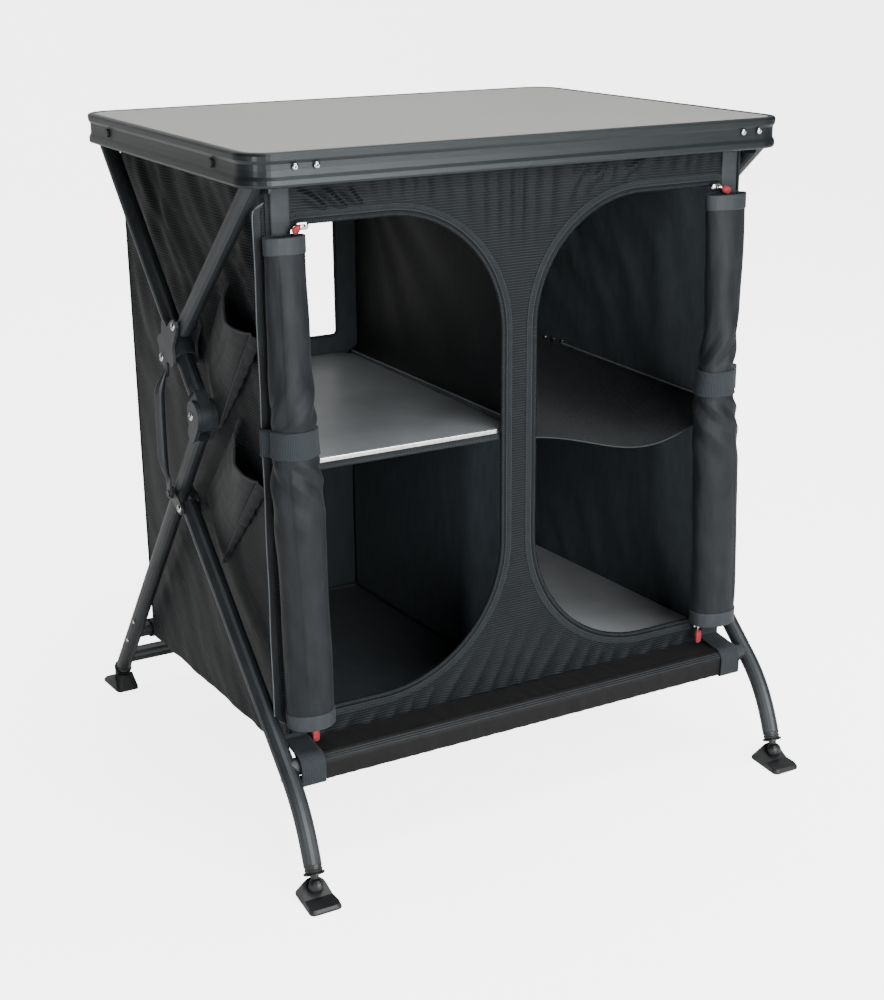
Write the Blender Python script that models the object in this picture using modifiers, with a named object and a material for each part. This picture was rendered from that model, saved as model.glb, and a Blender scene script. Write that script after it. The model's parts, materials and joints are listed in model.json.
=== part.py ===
"""A folding camping cupboard: a table top on two mirrored leg linkages, with a fabric cabinet hung inside.

Metres. +X runs to the right along the front, the front faces -Y and +Z is up. The origin is on the floor
under the middle of the cupboard. Left is side -1 and right is side +1, seen from the front.
"""

import math

import bmesh
import bpy
from mathutils import Matrix, Vector

GAP = 0.0003  # between pieces that touch
RUNNING_GAP = 0.0003  # round a pin in its hole
OVERLAP = 0.001  # of two shapes that are joined into one

# Table top
TABLE_HEIGHT = 0.780
TOP_WIDTH = 0.660
TOP_DEPTH = 0.510
CORNER_RADIUS = 0.035
CORNER_STEPS = 12
PANEL_THICKNESS = 0.012
PANEL_RECESS = 0.0006
RAIL_HEIGHT = 0.034
RAIL_WALL = 0.0045
RAIL_LIP = 0.0080
LIP_THICKNESS = 0.0014
COVE_DEPTH = 0.0026
BEAD = 0.0075
LEDGE_THICKNESS = 0.0012
LEDGE_REACH = 0.012

# Brackets under the board, each bolted to the rail
BOLT_RADIUS = 0.0025
BOLT_HEAD_RADIUS = 0.0050
BOLT_HEAD_THICKNESS = 0.0024
BOLT_PLACE = TOP_DEPTH / 2 - 0.095
BRACKET_WALL = 0.0024
BRACKET_DROP = 0.0115
BRACKET_BEYOND = 0.0125
BRACKET_CLEARANCE = 0.0008
CHEEK_CORNER = 0.004
TAB_HALF = 0.012
TAB_DROP = 0.032

# Leg tubes, in the side plane: a place is (y, z)
TUBE_RADIUS = 0.010
LEG_PLANE = TOP_WIDTH / 2 - 0.018
PIVOT_DROP = 0.030
REAR_PIVOT = (TOP_DEPTH / 2 - 0.040, TABLE_HEIGHT - PIVOT_DROP)
FRONT_PIVOT = (0.029 - TOP_DEPTH / 2, TABLE_HEIGHT - PIVOT_DROP)
REAR_TUBE_ANGLE = math.radians(44.6)
ELBOW_RUN = 0.3925
FOOT_PLACE = 0.316
BALL_HEIGHT = 0.0185
TUBE_OVERRUN = 0.0045
PIVOT_PIN_RADIUS = 0.0030

# Elbow between the upper and the lower rear tube
ELBOW_OFFSET = 0.0105
ELBOW_RADIUS = 0.0205
ELBOW_EYE_HALF = 0.0068
ELBOW_CHEEK_HALF = 0.0118
ELBOW_PIN_RADIUS = 0.0040
ELBOW_ARM = 0.040
ELBOW_TONGUE = 0.038
TONGUE_STEPS = 8
ELBOW_HEEL = 0.0115

# Hub that slides on the upper rear tube
HUB_RUN = 0.100
HUB_FRONT_REACH = 0.035
HUB_REAR_REACH = 0.026
HUB_SLEEVE_RADIUS = 0.0135
HUB_SLEEVE_LENGTH = 0.042
HUB_PLATE_INNER = 0.0118
HUB_PLATE_OUTER = 0.0150
RIVET_RADIUS = 0.0042
RIVET_HEIGHT = 0.0014
HUB_EAR = 0.0088
HUB_TAIL_EAR = 0.0060
HUB_CENTRE = 0.0180
HUB_TAILS = ((-0.021, -0.004), (0.021, 0.010), (0.017, -0.018))
LOBE_SPREAD = 1.6
OUTLINE_STEPS = 48
BUTTON_RADIUS = 0.0042
BUTTON_PLACE = 0.0140
BUTTON_TRAVEL = 0.0025

# Curved link from the hub to the lower bracket
LINK_RADIUS = 0.0058
LINK_BOW = 0.0040
LINK_OUTWARD = 0.0193
LINK_STATIONS = 18
LINK_FIRST = 0.06
LINK_RISE = 0.20
LINK_NECK = 0.20
LINK_TAIL = 0.11
LINK_TAIL_WIDTH = 0.85
LINK_EYE_THICKNESS = 0.0026
LINK_EYE_RADIUS = 0.0065

# Lower bracket, where the front leg hangs on the rear leg
BRACKET_RUN = 0.146
BRACKET_REACH = 0.0285
BRACKET_TILT = math.radians(24)
BRACKET_PLATE = 0.0024
BRACKET_GAP = 0.0006
BRACKET_EAR_RADIUS = 0.0085

# Front leg
FRONT_TUBE_HEIGHT = 0.127
FRONT_TUBE_PLACE = (0.005 - TOP_DEPTH / 2, FRONT_TUBE_HEIGHT)
FRONT_FOOT_ANGLE = math.radians(69)
FRONT_FOOT_STRAIGHT = 0.036
BEND_BELOW_TUBE = 0.010

# Cross tubes
REAR_FLOOR_TUBE_HEIGHT = 0.107
REAR_CROSS_TUBE_HEIGHT = 0.054
COPE_REACH = 0.04

# Feet
BALL_RADIUS = 0.0090
NECK_RADIUS = 0.0042
FLANGE_RADIUS = 0.0118
PLUG_LENGTH = 0.0095
NECK_LENGTH = 0.0130
FLANGE_THICKNESS = 0.0014
PAD_WIDTH = 0.038
PAD_LENGTH = 0.054
PAD_RIM = 0.0024
PAD_TAPER = 0.78
CUP_RADIUS = 0.0128
CUP_FRONT = 0.0070
CUP_BACK = BALL_HEIGHT + 0.0045
CUP_FALL = 0.004
CUP_MOUTH = 0.040
CUP_THROAT = 0.3
NECK_FILLET = 0.001
PAD_CORNER = 0.006

# Fabric cabinet
FABRIC = 0.0020
LEG_CLEARANCE = 0.0070
CABINET_HALF_WIDTH = LEG_PLANE - TUBE_RADIUS - LEG_CLEARANCE
CABINET_INSET = 0.040
CABINET_FRONT = CABINET_INSET - TOP_DEPTH / 2
CABINET_REAR = TOP_DEPTH / 2 - CABINET_INSET
SIDE_BOTTOM_FRONT = FRONT_TUBE_HEIGHT - 0.003
SIDE_BOTTOM_REAR = REAR_FLOOR_TUBE_HEIGHT - 0.001
SLEEVE_WALL = 0.0022
DOOR_INNER = 0.0220
DOOR_OUTER = CABINET_HALF_WIDTH - 0.024
DOOR_TOP = TABLE_HEIGHT - 0.076
DOOR_BOTTOM = FRONT_TUBE_HEIGHT + 0.043
DOOR_TOP_RADIUS = 0.1370
DOOR_BOTTOM_RADIUS = 0.1550
DOOR_CORNER = 0.0100
DOOR_STEPS = 9
SHELF_TOP = 0.4550
WINDOW_LEFT = 0.033 - CABINET_HALF_WIDTH
WINDOW_RIGHT = -0.012
WINDOW_BOTTOM = SHELF_TOP + 0.035
WINDOW_TOP = TABLE_HEIGHT - 0.080
WINDOW_CORNER = 0.020

# Rolled doors beside the openings
ROLL_PLACE = CABINET_HALF_WIDTH - 0.018
ROLL_HALF_WIDTH = 0.0255
ROLL_HALF_DEPTH = 0.0215
ROLL_TOP = TABLE_HEIGHT - 0.085
ROLL_BOTTOM = FRONT_TUBE_HEIGHT + 0.035
STRAP_HEIGHT = 0.0300
STRAP_LEFT_PLACE = 0.4860
STRAP_RIGHT_PLACE = 0.4780
STRAP_THICKNESS = 0.0018
STRAP_EASE = 0.00055
WAIST = 0.84
WAIST_SPREAD = 0.045
ROLL_SLIMMING = 0.05
ROLL_STEPS = 14
PULL_LENGTH = 0.0170
PULL_WIDTH = 0.0055
PULL_THICKNESS = 0.0022

# Boards and shelves
BOARD_THICKNESS = 0.0080
BOARD_CORNER = 0.022
BOARD_CLEARANCE = 0.0030
EDGE_RAIL_WIDTH = 0.0030
MESH_SHELF_HEIGHT = 0.4400
MESH_SHELF_SAG = 0.0300
SLING_DROP = 0.0200
MESH_SHELF_EASE = 0.0012

# Pockets on the left side: each hangs from the front corner of its mouth, down and to the rear
POCKET_SLOPE = math.radians(-45)
POCKET_WALL = 0.0012
POCKET_UPPER = (0.035 + CABINET_FRONT, 0.598)
POCKET_LOWER = (0.027 + CABINET_FRONT, 0.437)
POCKET_UPPER_SIZE = (0.078, 0.173)
POCKET_LOWER_SIZE = (0.088, 0.200)
POCKET_TAPER = 0.27
POCKET_BULGE = 0.0150
POCKET_MOUTH_DIP = 0.0220
POCKET_CREASE = 0.12
POCKET_LEAN = 1.3
ROOM_SLOPE = 0.7

ROUND_SIDES = 16

BOARD_UNDERSIDE = TABLE_HEIGHT - LIP_THICKNESS - PANEL_THICKNESS
BOLT_HEIGHT = TABLE_HEIGHT - RAIL_HEIGHT / 2
CLOTH_TOP = BOARD_UNDERSIDE - GAP

for old in list(bpy.data.objects):
    bpy.data.objects.remove(old, do_unlink=True)

parts = bpy.data.collections.new("camping_cupboard")
cutters = bpy.data.collections.new("cutters")
bpy.context.scene.collection.children.link(parts)
bpy.context.scene.collection.children.link(cutters)
cutters.hide_render = True


def paint(name, colour, roughness, metallic=0.0):
    """A Principled material of one linear colour."""
    made = bpy.data.materials.new(name)
    made.use_nodes = True
    shader = made.node_tree.nodes["Principled BSDF"]
    shader.inputs["Base Color"].default_value = (*colour, 1.0)
    shader.inputs["Roughness"].default_value = roughness
    shader.inputs["Metallic"].default_value = metallic
    return made


BOARD = paint("grey_laminate", (0.38, 0.38, 0.36), 0.55)
RAIL = paint("anthracite_anodised_rail", (0.055, 0.062, 0.064), 0.38, 0.6)
STEEL = paint("anthracite_painted_tube", (0.045, 0.053, 0.058), 0.40, 0.3)
MOULDING = paint("dark_grey_moulding", (0.040, 0.048, 0.055), 0.45)
BRIGHT = paint("bright_steel", (0.72, 0.73, 0.74), 0.25, 1.0)
MESH_CLOTH = paint("black_ribbed_mesh", (0.014, 0.015, 0.018), 0.80)
DOOR_CLOTH = paint("dark_grey_polyester", (0.035, 0.037, 0.041), 0.60)
RED = paint("red_tab", (0.55, 0.010, 0.015), 0.45)
SHELF = paint("grey_shelf_board", (0.20, 0.20, 0.20), 0.50)
WEBBING = paint("grey_webbing", (0.055, 0.060, 0.066), 0.80)


def in_plane(side, outward, place):
    """The point at this distance outward of the leg plane, over (y, z)."""
    return Vector((side * (LEG_PLANE + outward), place[0], place[1]))


def heading(angle):
    """The unit (y, z) direction at this angle above +Y."""
    return Vector((math.cos(angle), math.sin(angle)))


def keep(obj, material, origin=None):
    """Names the object's material, gives it smooth round faces, and moves its origin to its joint's axis."""
    obj.data.materials.clear()
    obj.data.materials.append(material)
    obj.data.shade_smooth()
    obj.data.set_sharp_from_angle(angle=math.radians(35))
    if origin is not None:
        obj.data.transform(Matrix.Translation(-Vector(origin)))
        obj.location = origin
    return obj


def from_mesh(name, mesh, collection):
    obj = bpy.data.objects.new(name, mesh)
    collection.objects.link(obj)
    return obj


def from_bmesh(name, shape, collection):
    mesh = bpy.data.meshes.new(name)
    shape.to_mesh(mesh)
    shape.free()
    return from_mesh(name, mesh, collection)


def from_curve(name, curve, collection, placing=Matrix.Identity(4)):
    """The closed mesh of a bevelled or extruded curve, its caps welded, in world space."""
    guide = bpy.data.objects.new(name + "_guide", curve)
    guide.matrix_world = placing
    cutters.objects.link(guide)
    bpy.context.view_layer.update()
    evaluated = guide.evaluated_get(bpy.context.evaluated_depsgraph_get())
    mesh = bpy.data.meshes.new_from_object(evaluated)
    shape = bmesh.new()
    shape.from_mesh(mesh)
    bmesh.ops.remove_doubles(shape, verts=shape.verts, dist=1e-6)
    bmesh.ops.transform(shape, matrix=placing, verts=shape.verts)
    bmesh.ops.recalc_face_normals(shape, faces=shape.faces)
    shape.to_mesh(mesh)
    shape.free()
    bpy.data.objects.remove(guide, do_unlink=True)
    return from_mesh(name, mesh, collection)


def tube(name, points, radius, collection=None, sides=ROUND_SIDES, swell=None):
    """A round bar along the points, with flat ends. Swell holds a share of the radius for each point."""
    curve = bpy.data.curves.new(name, "CURVE")
    curve.dimensions = "3D"
    curve.bevel_depth = radius
    curve.bevel_resolution = (sides - 4) // 2
    curve.use_fill_caps = True
    spline = curve.splines.new("POLY")
    spline.points.add(len(points) - 1)
    for point, place, share in zip(spline.points, points, swell or [1.0] * len(points)):
        point.co = (*place, 1.0)
        point.radius = share
    return from_curve(name, curve, collection or parts)


PLANES = {
    "side": Matrix(((0, 0, 1, 0), (1, 0, 0, 0), (0, 1, 0, 0), (0, 0, 0, 1))),
    "front": Matrix(((1, 0, 0, 0), (0, 0, -1, 0), (0, 1, 0, 0), (0, 0, 0, 1))),
    "flat": Matrix.Identity(4),
}


def plate(name, outlines, low, high, plane, collection=None):
    """A flat plate between two distances from a main plane. Outlines inside the first are holes.

    In the side plane an outline holds (y, z) and the distance is x; in the front plane (x, z) and -y; in the
    flat plane (x, y) and z.
    """
    curve = bpy.data.curves.new(name, "CURVE")
    curve.dimensions = "2D"
    curve.fill_mode = "BOTH"
    curve.extrude = abs(high - low) / 2
    for outline in outlines:
        spline = curve.splines.new("POLY")
        spline.points.add(len(outline) - 1)
        for point, place in zip(spline.points, outline):
            point.co = (*place, 0.0, 1.0)
        spline.use_cyclic_u = True
    lift = Matrix.Translation((0, 0, (low + high) / 2))
    return from_curve(name, curve, collection or parts, PLANES[plane] @ lift)


def box(name, low, high, collection=None):
    """A box between two corners."""
    shape = bmesh.new()
    bmesh.ops.create_cube(shape, size=1.0)
    low, high = Vector(low), Vector(high)
    size = high - low
    bmesh.ops.scale(shape, vec=[abs(length) for length in size], verts=shape.verts)
    bmesh.ops.translate(shape, vec=(low + high) / 2, verts=shape.verts)
    return from_bmesh(name, shape, collection or parts)


def turned(name, profile, base, direction, steps=ROUND_SIDES, collection=None):
    """A turned solid about an axis through base: the profile holds (radius, height), from the top down."""
    mesh = bpy.data.meshes.new(name)
    edges = [(i, i + 1) for i in range(len(profile) - 1)]
    mesh.from_pydata([(radius, 0, height) for radius, height in profile], edges, [])
    obj = from_mesh(name, mesh, collection or parts)
    screw = obj.modifiers.new("turn", "SCREW")
    screw.steps = steps
    screw.render_steps = steps
    screw.use_merge_vertices = True
    screw.merge_threshold = 0.0001
    bpy.context.view_layer.update()
    evaluated = obj.evaluated_get(bpy.context.evaluated_depsgraph_get())
    solid = bpy.data.meshes.new_from_object(evaluated)
    obj.modifiers.clear()
    turn = Vector((0, 0, 1)).rotation_difference(Vector(direction)).to_matrix().to_4x4()
    shape = bmesh.new()
    shape.from_mesh(solid)
    bmesh.ops.remove_doubles(shape, verts=shape.verts, dist=1e-6)
    bmesh.ops.transform(shape, matrix=Matrix.Translation(base) @ turn, verts=shape.verts)
    bmesh.ops.recalc_face_normals(shape, faces=shape.faces)
    shape.to_mesh(solid)
    shape.free()
    obj.data = solid
    return obj


def combine(obj, tools, operation):
    """Joins or cuts with each tool, which becomes a hidden wire guide."""
    for number, tool in enumerate(tools):
        tool.name = f"{obj.name}_{operation.lower()}_{number}"
        tool.hide_render = True
        tool.display_type = "WIRE"
        modifier = obj.modifiers.new(tool.name, "BOOLEAN")
        modifier.operation = operation
        modifier.solver = "EXACT"
        modifier.object = tool
    return obj


def union(obj, *tools):
    return combine(obj, tools, "UNION")


def cut(obj, *tools):
    return combine(obj, tools, "DIFFERENCE")


def pin(side, place, radius, inner, outer, collection=None):
    """A round bar along X through (y, z), between two distances outward of the leg plane."""
    ends = [in_plane(side, inner, place), in_plane(side, outer, place)]
    return tube("pin", ends, radius, collection or cutters, 12)


def arc(centre, radius, start, end, steps):
    """Points round a centre, angles in degrees."""
    angles = [math.radians(start + (end - start) * i / steps) for i in range(steps + 1)]
    return [(centre[0] + radius * math.cos(a), centre[1] + radius * math.sin(a)) for a in angles]


def rounded(low, high, radius, steps=5):
    """A rounded rectangle between two corners."""
    (x0, y0), (x1, y1) = low, high
    corners = (((x1 - radius, y0 + radius), -90), ((x1 - radius, y1 - radius), 0),
               ((x0 + radius, y1 - radius), 90), ((x0 + radius, y0 + radius), 180))
    return [point for centre, start in corners for point in arc(centre, radius, start, start + 90, steps)]


# Places of the linkage in the side plane
up = heading(REAR_TUBE_ANGLE)
across = Vector((-up.y, up.x))
corner = Vector(REAR_PIVOT) - ELBOW_RUN * up
rear_ball = Vector((FOOT_PLACE, BALL_HEIGHT))
front_ball = Vector((-FOOT_PLACE, BALL_HEIGHT))
down = (rear_ball - corner).normalized()
bisector = (up + down).normalized()
half_opening = up.angle(down) / 2
elbow = corner + bisector * (ELBOW_OFFSET / math.sin(half_opening))
hub_place = corner + HUB_RUN * up
hub_front = hub_place + HUB_FRONT_REACH * across
hub_rear = hub_place - HUB_REAR_REACH * across
link_foot = corner + BRACKET_RUN * down
front_leg_pivot = link_foot - BRACKET_REACH * heading(BRACKET_TILT)
front_down = (Vector(FRONT_TUBE_PLACE) - front_leg_pivot).normalized()
front_upper = (hub_front - Vector(FRONT_PIVOT)).normalized()


def rear_leg_at(height):
    """The (y, z) of the rear leg's axis at this height."""
    return corner + down * ((height - corner.y) / down.y)


def table():
    """The laminate board, rebated under the lip of its extruded rail, which goes round in one piece."""
    half = Vector((TOP_WIDTH / 2, TOP_DEPTH / 2))
    inset = RAIL_WALL + GAP
    edge = half - Vector((inset, inset))
    board_top = TABLE_HEIGHT - LIP_THICKNESS - GAP
    board = plate("table_panel", [rounded(-edge, edge, CORNER_RADIUS - inset, CORNER_STEPS)],
                  board_top - PANEL_THICKNESS + GAP, board_top, "flat")
    step = RAIL_LIP + GAP
    shown = half - Vector((step, step))
    union(board, plate("raised", [rounded(-shown, shown, CORNER_RADIUS - step, CORNER_STEPS)],
                       board_top - PANEL_THICKNESS / 2, TABLE_HEIGHT - PANEL_RECESS, "flat", cutters))
    keep(board, BOARD)
    ledge = board_top - PANEL_THICKNESS
    waist = (BEAD, RAIL_HEIGHT / 2, RAIL_HEIGHT - BEAD)
    profile = [(RAIL_LIP, 0), (0.0026, 0), (0.0008, 0.0008), (0, 0.0030),
               (0.0003, waist[0]), (COVE_DEPTH - 0.0002, waist[0] + 0.0035), (COVE_DEPTH, waist[1]),
               (COVE_DEPTH - 0.0002, waist[2] - 0.0035), (0.0003, waist[2]), (0, RAIL_HEIGHT - 0.0030),
               (0.0008, RAIL_HEIGHT - 0.0008), (0.0024, RAIL_HEIGHT), (RAIL_WALL, RAIL_HEIGHT),
               (RAIL_WALL, TABLE_HEIGHT - ledge + LEDGE_THICKNESS),
               (LEDGE_REACH, TABLE_HEIGHT - ledge + LEDGE_THICKNESS),
               (LEDGE_REACH, TABLE_HEIGHT - ledge), (RAIL_WALL, TABLE_HEIGHT - ledge),
               (RAIL_WALL, LIP_THICKNESS), (RAIL_LIP, LIP_THICKNESS)]
    section = bpy.data.curves.new("rail_section", "CURVE")
    section.dimensions = "2D"
    spline = section.splines.new("POLY")
    spline.points.add(len(profile) - 1)
    for point, (inward, depth) in zip(spline.points, profile):
        point.co = (inward, -depth, 0.0, 1.0)
    spline.use_cyclic_u = True
    section_guide = bpy.data.objects.new("rail_section_guide", section)
    section_guide.hide_render = True
    cutters.objects.link(section_guide)
    path = bpy.data.curves.new("rail_path", "CURVE")
    path.dimensions = "3D"
    path.twist_mode = "Z_UP"
    path.bevel_mode = "OBJECT"
    path.bevel_object = section_guide
    run = path.splines.new("POLY")
    places = rounded(-half, half, CORNER_RADIUS, CORNER_STEPS)
    run.points.add(len(places) - 1)
    for point, place in zip(run.points, reversed(places)):
        point.co = (*place, TABLE_HEIGHT, 1.0)
    run.use_cyclic_u = True
    rail = from_curve("apron_rail", path, parts)
    bpy.data.objects.remove(section_guide, do_unlink=True)
    for side in (-1, 1):
        for y in (-BOLT_PLACE, BOLT_PLACE):
            reach = (half.x + RAIL_WALL, half.x - 2 * RAIL_WALL)
            ends = [Vector((side * x, y, BOLT_HEIGHT)) for x in reach]
            cut(rail, tube("bolt_hole", ends, BOLT_RADIUS + RUNNING_GAP, cutters, 12))
    keep(rail, RAIL)


def leg_bracket(name, side, pivot, bolt_y, pinned):
    """A pressed bracket under the board: a cheek beside the leg, a flange, and a tab bolted to the rail."""
    cheek = -TUBE_RADIUS - BRACKET_CLEARANCE
    top = BOARD_UNDERSIDE - GAP
    tab_end = bolt_y - math.copysign(TAB_HALF, bolt_y)
    low_end, high_end = sorted((tab_end, pivot[0] + math.copysign(BRACKET_BEYOND, bolt_y)))
    bottom = pivot[1] - BRACKET_DROP
    outline = rounded((low_end, bottom), (high_end, top - GAP), CHEEK_CORNER, 3)
    low, high = side * (LEG_PLANE + cheek - BRACKET_WALL), side * (LEG_PLANE + cheek)
    made = plate(name, [outline], low, high, "side")
    rail_face = TOP_WIDTH / 2 - RAIL_WALL - GAP
    ledge_face = TOP_WIDTH / 2 - LEDGE_REACH - GAP
    below_ledge = BOARD_UNDERSIDE - LEDGE_THICKNESS - 2 * GAP
    start = LEG_PLANE + cheek - BRACKET_WALL / 2
    tab_bottom = TABLE_HEIGHT - TAB_DROP
    under = below_ledge - BRACKET_WALL - OVERLAP
    section = [(start, under), (rail_face - BRACKET_WALL, under),
               (rail_face - BRACKET_WALL, tab_bottom), (rail_face, tab_bottom), (rail_face, below_ledge),
               (ledge_face, below_ledge), (ledge_face, top), (start, top)]
    section = [(side * x, z) for x, z in section]
    tab = plate("tab", [section], -bolt_y - TAB_HALF + GAP, -bolt_y + TAB_HALF - GAP, "front", cutters)
    cove_face = TOP_WIDTH / 2 - COVE_DEPTH
    head_start = cove_face + GAP
    spans = ((rail_face - OVERLAP, cove_face + OVERLAP, BOLT_RADIUS),
             (head_start, head_start + BOLT_HEAD_THICKNESS, BOLT_HEAD_RADIUS))
    bolt = []
    for low, high, radius in spans:
        ends = [Vector((side * x, bolt_y, BOLT_HEIGHT)) for x in (low, high)]
        bolt.append(tube("bolt", ends, radius, cutters, 12))
    union(made, tab, *bolt)
    if pinned:
        union(made, pin(side, pivot, PIVOT_PIN_RADIUS, cheek - BRACKET_WALL / 2, TUBE_RADIUS))
    keep(made, STEEL)


def upper_tubes(side, word):
    """The two upper tubes of a side, with the holes for their pivot pins."""
    start = Vector(REAR_PIVOT) + TUBE_OVERRUN * up
    end = corner + ELBOW_ARM * up
    rear = tube(f"upper_rear_tube_{word}", [in_plane(side, 0, start), in_plane(side, 0, end)], TUBE_RADIUS)
    keep(rear, STEEL, in_plane(side, 0, REAR_PIVOT))
    start = Vector(FRONT_PIVOT) - TUBE_OVERRUN * front_upper
    end = hub_front + 2 * TUBE_OVERRUN * front_upper
    front = tube(f"upper_front_tube_{word}", [in_plane(side, 0, start), in_plane(side, 0, end)], TUBE_RADIUS)
    for place in (FRONT_PIVOT, hub_front):
        cut(front, pin(side, place, PIVOT_PIN_RADIUS + RUNNING_GAP, -0.02, 0.02))
    keep(front, STEEL, in_plane(side, 0, FRONT_PIVOT))


def lobed(centre, lobes, base, steps=OUTLINE_STEPS):
    """A star outline: a disc that swells out smoothly over each lobe, which is (place, ear radius)."""
    outline = []
    for i in range(steps):
        ray = heading(2 * math.pi * i / steps)
        reach = base
        for place, ear in lobes:
            offset = Vector(place) - Vector(centre)
            turn = math.acos(max(-1.0, min(1.0, offset.normalized().dot(ray))))
            spread = LOBE_SPREAD * math.atan(ear / offset.length)
            reach = max(reach, base + (offset.length + ear - base) * math.exp(-(turn / spread) ** 2))
        outline.append(tuple(Vector(centre) + reach * ray))
    return outline


def hub(side, word):
    """The moulded slider: a sleeve on the upper rear tube between two star plates, with two riveted ears."""
    lobes = [(hub_front, HUB_EAR), (hub_rear, HUB_EAR)]
    for upward, forward in HUB_TAILS:
        lobes.append((hub_place + upward * up + forward * across, HUB_TAIL_EAR))
    outline = lobed(hub_place, lobes, HUB_CENTRE)
    half = HUB_SLEEVE_LENGTH / 2 * up
    ends = [in_plane(side, 0, hub_place + way * half) for way in (-1, 1)]
    made = tube(f"hub_{word}", ends, HUB_SLEEVE_RADIUS)
    sheets = []
    for inner, outer in ((HUB_PLATE_INNER, HUB_PLATE_OUTER), (-HUB_PLATE_OUTER, -HUB_PLATE_INNER)):
        low, high = side * (LEG_PLANE + inner), side * (LEG_PLANE + outer)
        sheets.append(plate("star", [outline], low, high, "side", cutters))
    union(made, *sheets)
    bore = [in_plane(side, 0, hub_place + way * half) for way in (-2, 2)]
    cut(made, tube("bore", bore, TUBE_RADIUS + RUNNING_GAP, cutters))
    reach = HUB_PLATE_INNER + OVERLAP
    union(made, *[pin(side, place, PIVOT_PIN_RADIUS, -reach, reach) for place in (hub_front, hub_rear)])
    heads = [pin(side, place, RIVET_RADIUS, HUB_PLATE_OUTER - OVERLAP, HUB_PLATE_OUTER + RIVET_HEIGHT)
             for place in (hub_front, hub_rear)]
    union(made, *heads)
    seat = button_seat()
    cut(made, tube("button_well", [in_plane(side, 0, seat), in_plane(side, 0, seat + 0.03 * button_way())],
                   BUTTON_RADIUS + RUNNING_GAP, cutters, 12))
    keep(made, MOULDING, in_plane(side, 0, hub_place))
    top = HUB_SLEEVE_RADIUS + BUTTON_TRAVEL + 0.0012
    base = hub_place + BUTTON_PLACE * up
    start = base + (TUBE_RADIUS + RUNNING_GAP + BUTTON_TRAVEL) * button_way()
    end = base + top * button_way()
    ends = [in_plane(side, 0, start), in_plane(side, 0, end)]
    button = tube(f"lock_button_{word}", ends, BUTTON_RADIUS, None, 12)
    keep(button, RED, in_plane(side, 0, end))


def button_way():
    """The direction in which the lock button stands out of the sleeve: to the rear and down."""
    return -across


def button_seat():
    return hub_place + BUTTON_PLACE * up + 0.002 * button_way()


def elbow_outline():
    """The disc round the elbow's pin, full at the heel of the bend and drawn in on its inner side."""
    outline = []
    for i in range(OUTLINE_STEPS):
        angle = 2 * math.pi * i / OUTLINE_STEPS
        fullness = math.sqrt(0.5 - 0.5 * heading(angle).dot(bisector))
        radius = ELBOW_HEEL + (ELBOW_RADIUS - ELBOW_HEEL) * fullness
        outline.append(tuple(elbow + radius * heading(angle)))
    return outline


def elbow_half(name, side, along, cheeks, origin):
    """Half of the elbow: a disc round its pin and an arm to its tube's end, as one eye or as two cheeks."""
    foot_of_pin = ELBOW_OFFSET / math.tan(half_opening)
    sideways = Vector((-along.y, along.x)) * TUBE_RADIUS
    start = corner + foot_of_pin * along
    end = corner + (ELBOW_ARM - GAP) * along
    tip = corner + (ELBOW_TONGUE - TUBE_RADIUS) * along
    arm = [tuple(start - sideways)]
    for i in range(TONGUE_STEPS + 1):
        angle = math.pi * (i / TONGUE_STEPS - 0.5)
        arm.append(tuple(tip + math.sin(angle) * sideways + TUBE_RADIUS * math.cos(angle) * along))
    arm.append(tuple(start + sideways))
    layers = [(-ELBOW_EYE_HALF, ELBOW_EYE_HALF)]
    if cheeks:
        inner = ELBOW_EYE_HALF + RUNNING_GAP
        layers = [(inner, ELBOW_CHEEK_HALF), (-ELBOW_CHEEK_HALF, -inner)]
    round_start = corner + (foot_of_pin + ELBOW_RADIUS + 2 * GAP) * along
    made = tube(name, [in_plane(side, 0, round_start), in_plane(side, 0, end)], TUBE_RADIUS)
    for low, high in layers:
        ends = side * (LEG_PLANE + low), side * (LEG_PLANE + high)
        disc = plate("disc", [elbow_outline()], *ends, "side", cutters)
        union(made, disc, plate("arm", [arm], *ends, "side", cutters))
    reach = ELBOW_CHEEK_HALF - OVERLAP
    if cheeks:
        union(made, pin(side, elbow, ELBOW_PIN_RADIUS, -reach, reach))
        union(made, pin(side, elbow, RIVET_RADIUS, reach, ELBOW_CHEEK_HALF + RIVET_HEIGHT))
    else:
        cut(made, pin(side, elbow, ELBOW_PIN_RADIUS + RUNNING_GAP, -2 * reach, 2 * reach))
    return keep(made, MOULDING, origin)


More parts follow.
